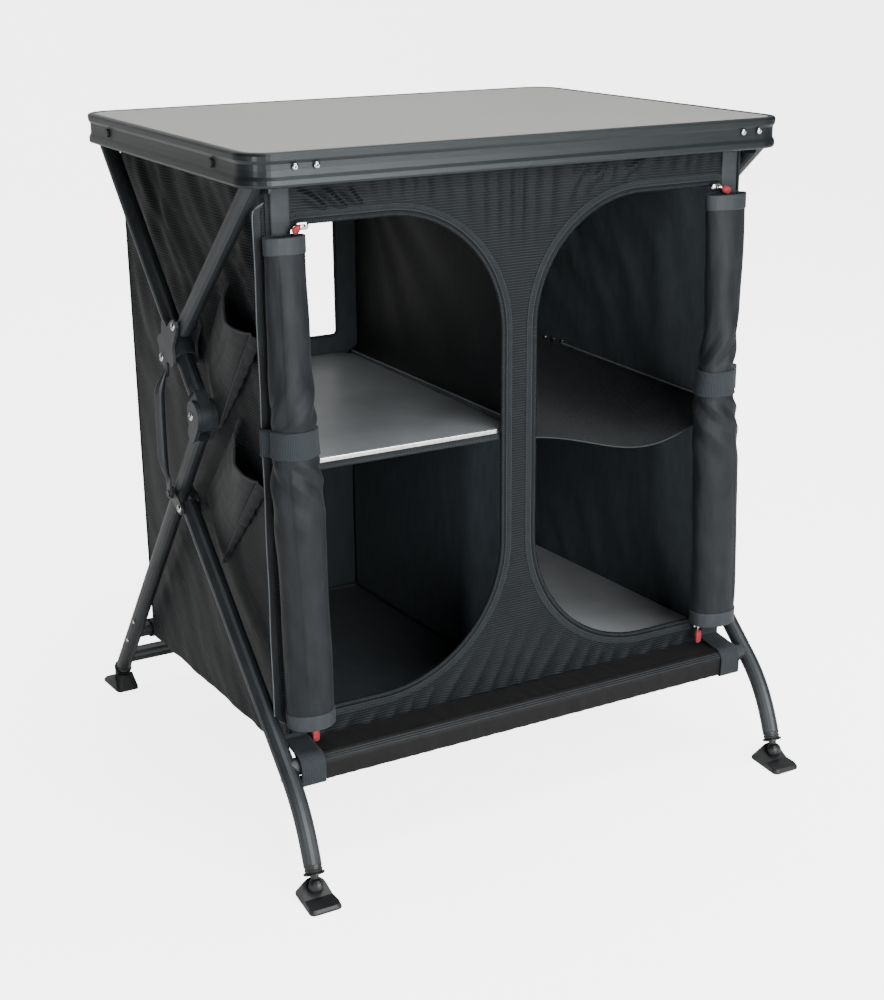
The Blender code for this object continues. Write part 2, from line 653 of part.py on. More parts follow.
def curved_link(side, word):
    """The link from the hub to the lower bracket, flattened at both ends and bowed out over the elbow."""
    run = link_foot - hub_rear
    rear_way = Vector((-run.y, run.x)).normalized()
    if rear_way.x < 0:
        rear_way = -rear_way
    top_eye = HUB_PLATE_INNER - GAP - LINK_EYE_THICKNESS / 2
    foot_eye = TUBE_RADIUS + BRACKET_GAP + BRACKET_PLATE + GAP + LINK_EYE_THICKNESS / 2
    points = []
    widths = []
    for i in range(LINK_STATIONS + 1):
        share = LINK_FIRST + (1 - 2 * LINK_FIRST) * i / LINK_STATIONS
        eye, rest = (top_eye, share) if share < 0.5 else (foot_eye, 1 - share)
        rise = min(1.0, (rest - LINK_FIRST) / LINK_RISE)
        ease = rise * rise * (3 - 2 * rise)
        bow = LINK_BOW * math.sin(math.pi * share)
        outward = eye + (LINK_OUTWARD - eye) * ease
        points.append(in_plane(side, outward, hub_rear + share * run + bow * rear_way))
        widths.append(LINK_NECK + (1 - LINK_NECK) * ease)
    made = tube(f"curved_link_{word}", points, LINK_RADIUS, None, 12, widths)
    eyes = ((hub_rear, top_eye, 1), (link_foot, foot_eye, -1))
    for place, centre, sense in eyes:
        lobes = ((place + sense * LINK_TAIL * run, LINK_EYE_RADIUS * LINK_TAIL_WIDTH),)
        low, high = (side * (LEG_PLANE + centre + half * LINK_EYE_THICKNESS / 2) for half in (-1, 1))
        union(made, plate("eye", [lobed(place, lobes, LINK_EYE_RADIUS)], low, high, "side", cutters))
    cut(made, pin(side, hub_rear, PIVOT_PIN_RADIUS + RUNNING_GAP, 0, 0.02))
    head = foot_eye + LINK_EYE_THICKNESS / 2
    union(made, pin(side, link_foot, RIVET_RADIUS, head - OVERLAP, head + RIVET_HEIGHT))
    keep(made, STEEL, in_plane(side, 0, hub_rear))


def lower_bracket(side, word, origin):
    """Two plates riveted to the rear leg, whose ears carry the front leg."""
    outline = lobed(link_foot, ((front_leg_pivot, BRACKET_EAR_RADIUS),), BRACKET_EAR_RADIUS)
    inner = TUBE_RADIUS + BRACKET_GAP
    reach = inner + OVERLAP
    low, high = side * (LEG_PLANE + inner), side * (LEG_PLANE + inner + BRACKET_PLATE)
    made = plate(f"lower_bracket_{word}", [outline], low, high, "side")
    far_low, far_high = side * (LEG_PLANE - inner - BRACKET_PLATE), side * (LEG_PLANE - inner)
    union(made, pin(side, link_foot, PIVOT_PIN_RADIUS, -reach, reach))
    union(made, plate("far", [outline], far_low, far_high, "side", cutters))
    union(made, pin(side, front_leg_pivot, PIVOT_PIN_RADIUS, -reach, reach))
    union(made, pin(side, front_leg_pivot, RIVET_RADIUS, reach, inner + BRACKET_PLATE + RIVET_HEIGHT))
    keep(made, STEEL, origin)


SHANK = NECK_LENGTH + FLANGE_THICKNESS + PLUG_LENGTH


def foot_direction(end):
    """The direction from the ball up the leg's end: end -1 is the front foot and +1 the rear one."""
    return -down if end > 0 else heading(FRONT_FOOT_ANGLE)


def legs(side, word):
    """The rear leg below the elbow and the front leg, which bends down to its foot."""
    end = rear_ball + (SHANK + GAP) * foot_direction(1)
    ends = [in_plane(side, 0, corner + ELBOW_ARM * down), in_plane(side, 0, end)]
    rear = tube(f"rear_leg_tube_{word}", ends, TUBE_RADIUS)
    cut(rear, pin(side, link_foot, PIVOT_PIN_RADIUS + RUNNING_GAP, -0.02, 0.02))
    keep(rear, STEEL, in_plane(side, 0, elbow))
    rise = foot_direction(-1)
    bend_end = front_ball + FRONT_FOOT_STRAIGHT * rise
    bend_start = Vector(FRONT_TUBE_PLACE) + BEND_BELOW_TUBE * front_down
    gap = bend_end - bend_start
    ahead = (gap.x * rise.y - gap.y * rise.x) / (front_down.x * rise.y - front_down.y * rise.x)
    knee = bend_start + ahead * front_down
    path = [front_leg_pivot - TUBE_OVERRUN * front_down]
    for i in range(9):
        t = i / 8
        path.append((1 - t) ** 2 * bend_start + 2 * t * (1 - t) * knee + t * t * bend_end)
    path.append(front_ball + (SHANK + GAP) * rise)
    front = tube(f"front_leg_tube_{word}", [in_plane(side, 0, place) for place in path], TUBE_RADIUS)
    cut(front, pin(side, front_leg_pivot, PIVOT_PIN_RADIUS + RUNNING_GAP, -0.02, 0.02))
    keep(front, STEEL, in_plane(side, 0, front_leg_pivot))


def cross_tube(name, place, way, origin):
    """A tube from leg to leg, its ends coped to the legs."""
    made = tube(name, [in_plane(-1, 0, place), in_plane(1, 0, place)], TUBE_RADIUS)
    for side in (-1, 1):
        ends = [in_plane(side, 0, place + reach * way) for reach in (-COPE_REACH, COPE_REACH)]
        cut(made, tube("cope", ends, TUBE_RADIUS + GAP, cutters))
    keep(made, STEEL, origin)


def foot(side, end, word):
    """A moulded plug with its ball, and the pad that swivels on the ball."""
    place = rear_ball if end > 0 else front_ball
    rise = foot_direction(end)
    base = in_plane(side, 0, place)
    way = Vector((0, rise.x, rise.y))
    top = SHANK
    flange = NECK_LENGTH + FLANGE_THICKNESS
    neck_angle = math.asin(NECK_RADIUS / BALL_RADIUS)
    ball = [(BALL_RADIUS * math.sin(a), BALL_RADIUS * math.cos(a))
            for a in [neck_angle + (math.pi - neck_angle) * i / 7 for i in range(7)]]
    ribs = [(TUBE_RADIUS, top), (TUBE_RADIUS, top - 0.0030), (TUBE_RADIUS - 0.0008, top - 0.0036),
            (TUBE_RADIUS - 0.0008, top - 0.0050), (TUBE_RADIUS, top - 0.0056), (TUBE_RADIUS - 0.0012, flange)]
    profile = [(0, top), *ribs, (FLANGE_RADIUS, flange), (FLANGE_RADIUS, NECK_LENGTH),
               (NECK_RADIUS + NECK_FILLET, NECK_LENGTH), *ball, (0, -BALL_RADIUS)]
    joint = in_plane(side, 0, elbow if end > 0 else front_leg_pivot)
    plug = turned(f"foot_plug_{word}", profile, base, way, 14)
    keep(plug, MOULDING, joint)
    half = Vector((PAD_WIDTH / 2, PAD_LENGTH / 2))
    shape = bmesh.new()
    rim = [(x * (1 + (PAD_TAPER - 1) * (0.5 - end * y / PAD_LENGTH)), y)
           for x, y in rounded(-half, half, PAD_CORNER, 3)]
    cup = arc((0, 0), CUP_RADIUS, 0, 337.5, 15)
    for ring, height in ((rim, 0), (rim, PAD_RIM), (cup, BALL_HEIGHT - 0.002), (cup, CUP_BACK)):
        for x, y in ring:
            shape.verts.new((base.x + x, base.y + y, height))
    hull = bmesh.ops.convex_hull(shape, input=shape.verts)
    bmesh.ops.delete(shape, geom=list(set(hull["geom_interior"] + hull["geom_unused"])), context="VERTS")
    pad = from_bmesh(f"foot_pad_{word}", shape, parts)
    hollow = bmesh.new()
    bmesh.ops.create_uvsphere(hollow, u_segments=20, v_segments=10, radius=BALL_RADIUS + GAP)
    bmesh.ops.translate(hollow, vec=base, verts=hollow.verts)
    cut(pad, from_bmesh("socket", hollow, cutters))
    funnel = [(0, CUP_MOUTH), (CUP_MOUTH, CUP_MOUTH), (CUP_THROAT * BALL_RADIUS, 0), (0, 0)]
    mouth = turned("mouth", funnel, base, way, 20, cutters)
    front, back = base.y + end * PAD_LENGTH, base.y - end * CUP_RADIUS
    slope = [(front, CUP_FRONT - CUP_FALL), (base.y + end * 0.4 * CUP_RADIUS, CUP_FRONT),
             (back, CUP_BACK - OVERLAP), (back, 0.1), (front, 0.1)]
    open_side = plate("open_side", [slope], base.x - PAD_WIDTH, base.x + PAD_WIDTH, "side", cutters)
    cut(pad, mouth, open_side)
    keep(pad, MOULDING, base)


def floor_line(y):
    """Height of the floor cloth's upper side: it is drawn over the front and the rear floor tube."""
    crest = TUBE_RADIUS + GAP + SLEEVE_WALL
    front = Vector(FRONT_TUBE_PLACE)
    rear = rear_leg_at(REAR_FLOOR_TUBE_HEIGHT)
    share = (y - front.x) / (rear.x - front.x)
    return front.y + crest + share * (rear.y - front.y)


def side_bottom(y):
    share = (y - CABINET_FRONT) / (CABINET_REAR - CABINET_FRONT)
    return SIDE_BOTTOM_FRONT + share * (SIDE_BOTTOM_REAR - SIDE_BOTTOM_FRONT)


INNER_FRONT = CABINET_FRONT + FABRIC + GAP
INNER_REAR = CABINET_REAR - FABRIC - GAP
INNER_HALF = CABINET_HALF_WIDTH - FABRIC - GAP


def door_outline(side):
    """A tall opening, straight at its outer side and swept round at its inner one."""
    inner, outer = side * DOOR_INNER, side * DOOR_OUTER
    top_centre = (inner + side * DOOR_TOP_RADIUS, DOOR_TOP - DOOR_TOP_RADIUS)
    bottom_centre = (inner + side * DOOR_BOTTOM_RADIUS, DOOR_BOTTOM + DOOR_BOTTOM_RADIUS)
    inner_start = 180 if side > 0 else 0
    turn = -90 * side
    points = arc(top_centre, DOOR_TOP_RADIUS, inner_start, inner_start + turn, DOOR_STEPS)
    points += [(outer - side * DOOR_CORNER, DOOR_TOP), (outer, DOOR_TOP - DOOR_CORNER)]
    points += [(outer, DOOR_BOTTOM + DOOR_CORNER), (outer - side * DOOR_CORNER, DOOR_BOTTOM)]
    points += arc(bottom_centre, DOOR_BOTTOM_RADIUS, inner_start + 90 * side, inner_start, DOOR_STEPS)
    return points


def cabinet():
    """The cloth walls, floor, divider and the two shelves' supports."""
    low = floor_line(CABINET_FRONT) + GAP
    front_edge = [(-INNER_HALF, low), (INNER_HALF, low), (INNER_HALF, CLOTH_TOP), (-INNER_HALF, CLOTH_TOP)]
    front = plate("front_panel", [front_edge, door_outline(-1), door_outline(1)],
                  -CABINET_FRONT - FABRIC, -CABINET_FRONT, "front")
    keep(front, MESH_CLOTH)
    low = floor_line(INNER_REAR) + GAP
    rear_edge = [(-INNER_HALF, low), (INNER_HALF, low), (INNER_HALF, CLOTH_TOP), (-INNER_HALF, CLOTH_TOP)]
    window = rounded((WINDOW_LEFT, WINDOW_BOTTOM), (WINDOW_RIGHT, WINDOW_TOP), WINDOW_CORNER, 4)
    rear = plate("rear_panel", [rear_edge, window], -CABINET_REAR, -CABINET_REAR + FABRIC, "front")
    keep(rear, MESH_CLOTH)
    for side, word in ((-1, "left"), (1, "right")):
        edge = [(CABINET_FRONT, side_bottom(CABINET_FRONT)), (CABINET_REAR, side_bottom(CABINET_REAR)),
                (CABINET_REAR, CLOTH_TOP), (CABINET_FRONT, CLOTH_TOP)]
        low, high = side * (CABINET_HALF_WIDTH - FABRIC), side * CABINET_HALF_WIDTH
        keep(plate(f"side_panel_{word}", [edge], low, high, "side"), MESH_CLOTH)
    front_tube, rear_tube = Vector(FRONT_TUBE_PLACE), rear_leg_at(REAR_FLOOR_TUBE_HEIGHT)
    crests = [(place.x, floor_line(place.x)) for place in (front_tube, rear_tube)]
    sheet = [(y, z - FABRIC) for y, z in crests] + crests[::-1]
    floor = plate("floor_cloth", [sheet], -INNER_HALF, INNER_HALF, "side")
    sleeve_radius = TUBE_RADIUS + GAP + SLEEVE_WALL
    for place in (front_tube, rear_tube):
        ends = [Vector((x, place.x, place.y)) for x in (-INNER_HALF, INNER_HALF)]
        union(floor, tube("sleeve", ends, sleeve_radius, cutters))
    for place in (front_tube, rear_tube):
        ends = [Vector((x, place.x, place.y)) for x in (-LEG_PLANE, LEG_PLANE)]
        cut(floor, tube("sleeve_bore", ends, TUBE_RADIUS + GAP, cutters))
    keep(floor, MESH_CLOTH)
    wall = [(INNER_FRONT, floor_line(INNER_FRONT) + GAP), (INNER_REAR, floor_line(INNER_REAR) + GAP),
            (INNER_REAR, CLOTH_TOP), (INNER_FRONT, CLOTH_TOP)]
    keep(plate("divider", [wall], -FABRIC / 2, FABRIC / 2, "side"), MESH_CLOTH)
    shelf_supports()


def shelf_supports():
    """Left, a sling under the shelf board with a deep front hem. Right, a mesh shelf that sags in front."""
    inner = FABRIC / 2 + GAP
    top = SHELF_TOP - BOARD_THICKNESS - GAP
    sling = box("shelf_sling", (-INNER_HALF, INNER_FRONT, top - FABRIC), (-inner, INNER_REAR, top))
    low, high = (-INNER_HALF, INNER_FRONT, top - SLING_DROP), (-inner, INNER_FRONT + FABRIC, top)
    hem = box("hem", low, high, cutters)
    keep(union(sling, hem), MESH_CLOTH)
    left, right = inner + MESH_SHELF_EASE, INNER_HALF - MESH_SHELF_EASE
    front, rear = INNER_FRONT + MESH_SHELF_EASE, INNER_REAR - MESH_SHELF_EASE
    shape = bmesh.new()
    bmesh.ops.create_grid(shape, x_segments=10, y_segments=8, size=0.5)
    for vertex in shape.verts:
        across_share, depth_share = vertex.co.x + 0.5, vertex.co.y + 0.5
        belly = math.sin(math.pi * across_share) * (1 - depth_share) ** 0.6
        vertex.co = (left + across_share * (right - left), front + depth_share * (rear - front),
                     MESH_SHELF_HEIGHT - MESH_SHELF_SAG * belly)
    shelf = from_bmesh("mesh_shelf", shape, parts)
    skin = shelf.modifiers.new("thickness", "SOLIDIFY")
    skin.thickness = FABRIC
    skin.offset = -1
    keep(shelf, MESH_CLOTH)


def boards():
    """The loose shelf board with its bright front edge, and the board on the right floor."""
    inner = FABRIC / 2 + GAP + BOARD_CLEARANCE
    left, right = -INNER_HALF + BOARD_CLEARANCE, -inner
    front, rear = INNER_FRONT + BOARD_CLEARANCE, INNER_REAR - BOARD_CLEARANCE
    edge = front + EDGE_RAIL_WIDTH
    outline = [(left, edge + GAP), (right, edge + GAP)]
    outline += arc((right - BOARD_CORNER, rear - BOARD_CORNER), BOARD_CORNER, 0, 90, 5)
    outline += arc((left + BOARD_CORNER, rear - BOARD_CORNER), BOARD_CORNER, 90, 180, 5)
    keep(plate("shelf_board", [outline], SHELF_TOP - BOARD_THICKNESS, SHELF_TOP, "flat"), SHELF)
    trim = box("shelf_edge_rail", (left, front, SHELF_TOP - BOARD_THICKNESS), (right, edge, SHELF_TOP))
    bevel = trim.modifiers.new("rounding", "BEVEL")
    bevel.width = 0.0010
    bevel.segments = 2
    keep(trim, BRIGHT)
    low = Vector((front, floor_line(front) + GAP))
    high = Vector((rear, floor_line(rear) + GAP))
    section = [tuple(low), tuple(high), (high.x, high.y + BOARD_THICKNESS), (low.x, low.y + BOARD_THICKNESS)]
    keep(plate("floor_board", [section], inner, INNER_HALF - BOARD_CLEARANCE, "side"), SHELF)


def rolled_door(side, word, strap_place):
    """A rolled-up door: an upright roll, banded at both ends and drawn in at its strap."""
    profile = []
    for i in range(ROLL_STEPS + 1):
        share = i / ROLL_STEPS
        height = ROLL_TOP + share * (ROLL_BOTTOM - ROLL_TOP)
        waist = math.exp(-((height - strap_place) / WAIST_SPREAD) ** 2)
        swell = 1.0 - (1.0 - WAIST) * waist - ROLL_SLIMMING * math.sin(math.pi * share) ** 2
        profile.append((ROLL_HALF_WIDTH * swell, height))
    profile = [(0, ROLL_TOP), *profile, (0, ROLL_BOTTOM)]
    centre_y = CABINET_FRONT - GAP - ROLL_HALF_DEPTH
    oval = Matrix.Diagonal((1, ROLL_HALF_DEPTH / ROLL_HALF_WIDTH, 1, 1))
    flatten = Matrix.Translation((side * ROLL_PLACE, centre_y, 0)) @ oval
    roll = turned(f"rolled_door_{word}", profile, (0, 0, 0), (0, 0, 1), 18)
    roll.data.transform(flatten)
    keep(roll, DOOR_CLOTH)
    inner = ROLL_HALF_WIDTH * WAIST + STRAP_EASE
    outer = inner + STRAP_THICKNESS
    top, bottom = strap_place + STRAP_HEIGHT / 2, strap_place - STRAP_HEIGHT / 2
    band = [(inner, top), (outer, top), (outer, bottom), (inner, bottom), (inner, top)]
    ring = turned(f"door_strap_{word}", band, (0, 0, 0), (0, 0, 1), 18)
    ring.data.transform(flatten)
    keep(ring, WEBBING)


def zip_pulls(side, word):
    """The red tabs on the sliders, at the top and the bottom of a door."""
    centre = side * (ROLL_PLACE - 0.010)
    back = CABINET_FRONT - GAP
    starts = {"top": ROLL_TOP + 0.0015, "bottom": ROLL_BOTTOM - 0.0020 - PULL_LENGTH}
    for level, low in starts.items():
        pull = box(f"zip_pull_{level}_{word}", (centre - PULL_WIDTH / 2, back - PULL_THICKNESS, low),
                   (centre + PULL_WIDTH / 2, back, low + PULL_LENGTH))
        bevel = pull.modifiers.new("rounding", "BEVEL")
        bevel.width = 0.0007
        bevel.segments = 2
        keep(pull, RED)


def room_inside_legs(place):
    """How far cloth may stand off the side panel here, under the front tube, the front leg and the elbow."""
    rooms = []
    for start, way in ((hub_front, front_upper), (front_leg_pivot, front_down)):
        offset = place - start
        aside = abs(offset.x * way.y - offset.y * way.x)
        rooms.append(LEG_CLEARANCE + ROOM_SLOPE * max(0.0, aside - TUBE_RADIUS))
    beyond_elbow = max(0.0, (place - elbow).length - ELBOW_RADIUS)
    rooms.append(LEG_CLEARANCE - ELBOW_CHEEK_HALF + TUBE_RADIUS + ROOM_SLOPE * beyond_elbow)
    return min(rooms) - 2 * GAP


def side_pocket(name, corner_place, size):
    """A slanted pocket on the left side: its cloth stands off the panel, most at its dipping mouth."""
    along = heading(POCKET_SLOPE)
    wide = Vector((-along.y, along.x))
    width, length = size
    least = GAP + POCKET_WALL
    shape = bmesh.new()
    bmesh.ops.create_grid(shape, x_segments=12, y_segments=14, size=0.5)
    for vertex in shape.verts:
        s, t = vertex.co.x + 0.5, vertex.co.y + 0.5
        arch = math.sin(math.pi * s)
        dip = POCKET_MOUTH_DIP * arch
        reach = dip + t * (length * (1 - POCKET_TAPER * s) - dip)
        place = Vector(corner_place) + s * width * wide + reach * along
        fullness = POCKET_BULGE * arch ** 0.6 * (1 - t) ** 0.7
        creases = 1 + POCKET_CREASE * math.sin(3 * math.pi * (s + POCKET_LEAN * t))
        stand = min(least + fullness * creases, room_inside_legs(place))
        vertex.co = (-CABINET_HALF_WIDTH - stand, place.x, place.y)
    bmesh.ops.recalc_face_normals(shape, faces=shape.faces)
    bag = from_bmesh(name, shape, parts)
    outwards = -1 if bag.data.polygons[0].normal.x < 0 else 1
    skin = bag.modifiers.new("thickness", "SOLIDIFY")
    skin.thickness = POCKET_WALL
    skin.offset = outwards
    keep(bag, DOOR_CLOTH)


table()
for side, word in ((-1, "left"), (1, "right")):
    leg_bracket(f"rear_leg_bracket_{word}", side, REAR_PIVOT, BOLT_PLACE, False)
    leg_bracket(f"front_leg_bracket_{word}", side, FRONT_PIVOT, -BOLT_PLACE, True)
    upper_tubes(side, word)
    hub(side, word)
    elbow_half(f"elbow_upper_{word}", side, up, False, in_plane(side, 0, REAR_PIVOT))
    elbow_half(f"elbow_lower_{word}", side, down, True, in_plane(side, 0, elbow))
    curved_link(side, word)
    lower_bracket(side, word, in_plane(side, 0, elbow))
    legs(side, word)
    foot(side, 1, f"rear_{word}")
    foot(side, -1, f"front_{word}")
hinge_line = Vector((0, elbow.x, elbow.y))
cross_tube("rear_floor_tube", rear_leg_at(REAR_FLOOR_TUBE_HEIGHT), down, hinge_line)
cross_tube("rear_cross_tube", rear_leg_at(REAR_CROSS_TUBE_HEIGHT), down, hinge_line)
cross_tube("front_cross_tube", Vector(FRONT_TUBE_PLACE), front_down, Vector((0, *front_leg_pivot)))
cabinet()
boards()
for side, word, strap_place in ((-1, "left", STRAP_LEFT_PLACE), (1, "right", STRAP_RIGHT_PLACE)):
    rolled_door(side, word, strap_place)
    zip_pulls(side, word)
side_pocket("side_pocket_upper", POCKET_UPPER, POCKET_UPPER_SIZE)
side_pocket("side_pocket_lower", POCKET_LOWER, POCKET_LOWER_SIZE)
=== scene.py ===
# %% [markdown]
# # A folding camping cupboard
# A camp kitchen cupboard is a small table with a cloth cabinet hung under its top. The hard parts are dark
# tubes, moulded joints and an aluminium rail, and they come from the fixed frame. This lesson gives them
# their finishes and makes the soft parts: the cabinet's cloth, its rolled doors, straps, zips and pockets.

# %% The frame
import json
from math import comb

import bmesh
import bpy
import numpy as np
from mathutils import Matrix, Vector

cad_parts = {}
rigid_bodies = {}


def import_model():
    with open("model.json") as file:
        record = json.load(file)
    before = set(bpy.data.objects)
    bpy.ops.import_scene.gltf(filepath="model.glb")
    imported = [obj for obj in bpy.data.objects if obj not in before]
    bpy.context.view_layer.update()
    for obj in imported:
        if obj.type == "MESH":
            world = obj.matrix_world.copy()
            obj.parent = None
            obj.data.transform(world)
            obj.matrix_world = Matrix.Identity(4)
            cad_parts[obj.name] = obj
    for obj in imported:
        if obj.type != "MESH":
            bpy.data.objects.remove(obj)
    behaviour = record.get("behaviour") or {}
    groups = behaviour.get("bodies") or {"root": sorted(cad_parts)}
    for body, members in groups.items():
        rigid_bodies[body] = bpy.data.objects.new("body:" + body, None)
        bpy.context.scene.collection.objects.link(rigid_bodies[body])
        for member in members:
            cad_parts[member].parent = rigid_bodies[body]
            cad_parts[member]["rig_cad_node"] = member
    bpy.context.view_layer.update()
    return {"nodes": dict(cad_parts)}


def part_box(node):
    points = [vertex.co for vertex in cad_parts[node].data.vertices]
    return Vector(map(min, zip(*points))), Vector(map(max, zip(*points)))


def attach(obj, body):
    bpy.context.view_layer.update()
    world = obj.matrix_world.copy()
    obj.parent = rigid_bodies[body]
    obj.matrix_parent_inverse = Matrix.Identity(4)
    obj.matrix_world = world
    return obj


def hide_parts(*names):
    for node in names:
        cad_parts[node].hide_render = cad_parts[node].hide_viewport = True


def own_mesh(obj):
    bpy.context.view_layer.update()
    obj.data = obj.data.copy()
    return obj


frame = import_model()
nodes = frame["nodes"]

# %% [markdown]
# ## Where things are
# Lengths are in metres. +X runs to the right along the front, the front faces -Y and the floor is at z = 0.
# The cloth takes its place from the frame's own boxes, so that it stays inside them if the frame is changed.

# %% Places taken from the frame
front_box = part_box("front_panel")
rear_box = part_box("rear_panel")
side_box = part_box("side_panel_right")
FRONT_FACE = front_box[0].y
REAR_FACE = rear_box[1].y
SIDE_FACE = side_box[1].x
CLOTH_HALF = front_box[1].x
CLOTH_TOP = front_box[1].z
FRONT_BOTTOM = front_box[0].z
REAR_BOTTOM = rear_box[0].z
TUBE_RADIUS = 0.010
CLOTH = 0.0010  # the cloth's wall
PANEL_FACE = FRONT_FACE + 0.0006  # the front cloth lies here, and its folds stand out from it
FOLD_ANCHOR = (0, 0, CLOTH_TOP)
OUTER_ANCHOR = (0, 0, 0.734)  # the anchor given to what stands outside the cloth
print("front face y, side face x and cloth top z:", [round(v, 4) for v in (FRONT_FACE, SIDE_FACE, CLOTH_TOP)])


# %% [markdown]
# ## From a formula to a mesh
# Each soft piece is a surface worked out on a grid: two parameters run along its rows and columns, and numpy
# gives every point at once. The grid also keeps a UV map in metres, so that a weave has its real size and
# follows the folds. A closed loop repeats its first column at the end, and here the two are made one.

# %% Grid to mesh
def smooth(t):
    """0 below 0, 1 above 1, and 3t^2 - 2t^3 in between."""
    t = np.clip(t, 0.0, 1.0)
    return t * t * (3 - 2 * t)


def grid(rows, columns):
    """Two parameters from 0 to 1: the first goes down the rows, the second along the columns."""
    return np.meshgrid(np.linspace(0, 1, rows), np.linspace(0, 1, columns), indexing="ij")


def unit(ways):
    """Each vector over its own length."""
    return ways / np.linalg.norm(ways, axis=-1, keepdims=True)


def piece(name, mesh, finish):
    """A smooth mesh in its finish, put into the scene with its place in the mesh."""
    mesh.shade_smooth()
    mesh.materials.append(finish)
    obj = bpy.data.objects.new(name, mesh)
    bpy.context.scene.collection.objects.link(obj)
    return obj


def surface(name, points, uv, finish, outward=None, ring=False, looped=False, caps=False):
    """The mesh of a grid of points, with its UV map. Outward is a direction its faces look to.

    On a ring the last column is the first one again, and on a looped grid the last row is too. Caps close the
    first and the last row with one flat face each. Without outward the shape is closed, and the sign of its
    volume says which way its faces point.
    """
    rows, columns = points.shape[:2]
    height, width = rows - looped, columns - ring
    i, j = np.meshgrid(np.arange(rows - 1), np.arange(columns - 1), indexing="ij")
    corners = [(i, j), (i, j + 1), (i + 1, j + 1), (i + 1, j)]
    verts = np.stack([a % height * width + b % width for a, b in corners], axis=-1).reshape(-1, 4)
    loops = np.stack([a * columns + b for a, b in corners], axis=-1).reshape(-1, 4)
    flat = points[:height, :width].reshape(-1, 3)
    uv = np.stack(np.broadcast_arrays(*uv), axis=-1).reshape(-1, 2)
    if outward is None:
        a, b, c = (flat[verts[:, k]] - flat.mean(axis=0) for k in (0, 1, 2))
        turned = (np.cross(a, b) * c).sum() < 0
    else:
        a, b, c = (flat[verts[:, k]] for k in (0, 1, 3))
        turned = (np.cross(b - a, c - a).sum(axis=0) * np.array(outward)).sum() < 0
    if turned:
        verts, loops = verts[:, ::-1], loops[:, ::-1]
    faces = verts.tolist()
    loop_uv = uv[loops.reshape(-1)]
    if caps:
        first, last = np.arange(width), (rows - 1) * width + np.arange(width)
        for end in (first, last[::-1]) if turned else (first[::-1], last):
            faces.append(end.tolist())
            loop_uv = np.vstack([loop_uv, flat[end][:, :2]])
    mesh = bpy.data.meshes.new(name)
    mesh.from_pydata(flat.tolist(), [], faces)
    mesh.uv_layers.new(name="cloth").data.foreach_set("uv", loop_uv.astype(np.float32).ravel())
    return piece(name, mesh, finish)


def thicken(obj, thickness, offset=-1.0, inner=None):
    """Gives a sheet its wall, inwards from the face it was made as. Its inner face may have its own finish."""
    wall = obj.modifiers.new("wall", "SOLIDIFY")
    wall.thickness = thickness
    wall.offset = offset
    if inner:
        obj.data.materials.append(inner)
        wall.material_offset = 1
    return obj


def hang(obj, *replaced, anchor=FOLD_ANCHOR):
    """Cloth goes with the table."""
    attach(obj, "table")
    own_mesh(obj)
    if replaced:
        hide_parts(*replaced)
    return obj


# %% [markdown]
# ## Finishes
# A material starts from what the real thing is and how its surface was made. Colours are written as the hex
# values one would read from a colour card, and one function turns them to the linear values that light
# works in. One more function adds a node, so that a material reads as a short list of steps.

# %% Colour and node helpers
def linear(code):
    """sRGB hex to linear: c / 12.92 below 0.04045, and ((c + 0.055) / 1.055) ^ 2.4 above."""
    c = np.array([int(code[k : k + 2], 16) for k in (1, 3, 5)]) / 255
    return (*np.where(c <= 0.04045, c / 12.92, ((c + 0.055) / 1.055) ** 2.4), 1.0)


def add(tree, kind, inputs=(), to=None, result=0, **settings):
    """Adds a node with its settings and its links, and gives back its result.

    An input that is a socket is linked, and any other is set. The result may go on to a socket too.
    """
    node = tree.nodes.new("ShaderNode" + kind)
    for key, value in settings.items():
        setattr(node, key, value)
    for key, value in dict(inputs).items():
        if isinstance(value, bpy.types.NodeSocket):
            tree.links.new(value, node.inputs[key])
        else:
            node.inputs[key].default_value = value
    if to is not None:
        tree.links.new(node.outputs[result], to)
    return node.outputs[result]


def material(name, pattern="Object", **values):
    """A new material, its node tree, the coordinates that its pattern reads and its shader's inputs.

    A value that is the same all over is set on the shader's own socket, whose name has spaces for our _.
    """
    made = bpy.data.materials.new(name)
    made.use_nodes = True
    tree = made.node_tree
    shader = tree.nodes["Principled BSDF"].inputs
    for key, value in values.items():
        shader[key.replace("_", " ")].default_value = value
    print("finish:", name)
    return made, tree, add(tree, "TexCoord", result=pattern), shader


def wave(tree, source, pitch):
    """A sine wave between 0 and 1 that repeats each pitch along the source."""
    turned = add(tree, "Math", {0: source, 1: 2 * np.pi / pitch}, operation="MULTIPLY")
    sine = add(tree, "Math", {0: turned}, operation="SINE")
    return add(tree, "Math", {0: sine, 1: 0.5, 2: 0.5}, operation="MULTIPLY_ADD")


def tint(tree, factor, low, high, start=0.0, end=1.0, to=None):
    """A colour between two hex values, as the factor runs from start to end."""
    share = add(tree, "MapRange", {"Value": factor, "From Min": start, "From Max": end})
    ends = {"Factor": share, "A": linear(low), "B": linear(high)}
    return add(tree, "Mix", ends, to, "Result", data_type="RGBA")


# %% [markdown]
# ### Hard finishes
# The tubes are steel with a satin powder coat: a fine orange peel that softens the highlight. The rail is
# anodised aluminium, brushed along its length before the dye. The top is a melamine laminate with a fine
# speckle, and the hubs, elbows and feet are glass-filled nylon with a grained mould surface.

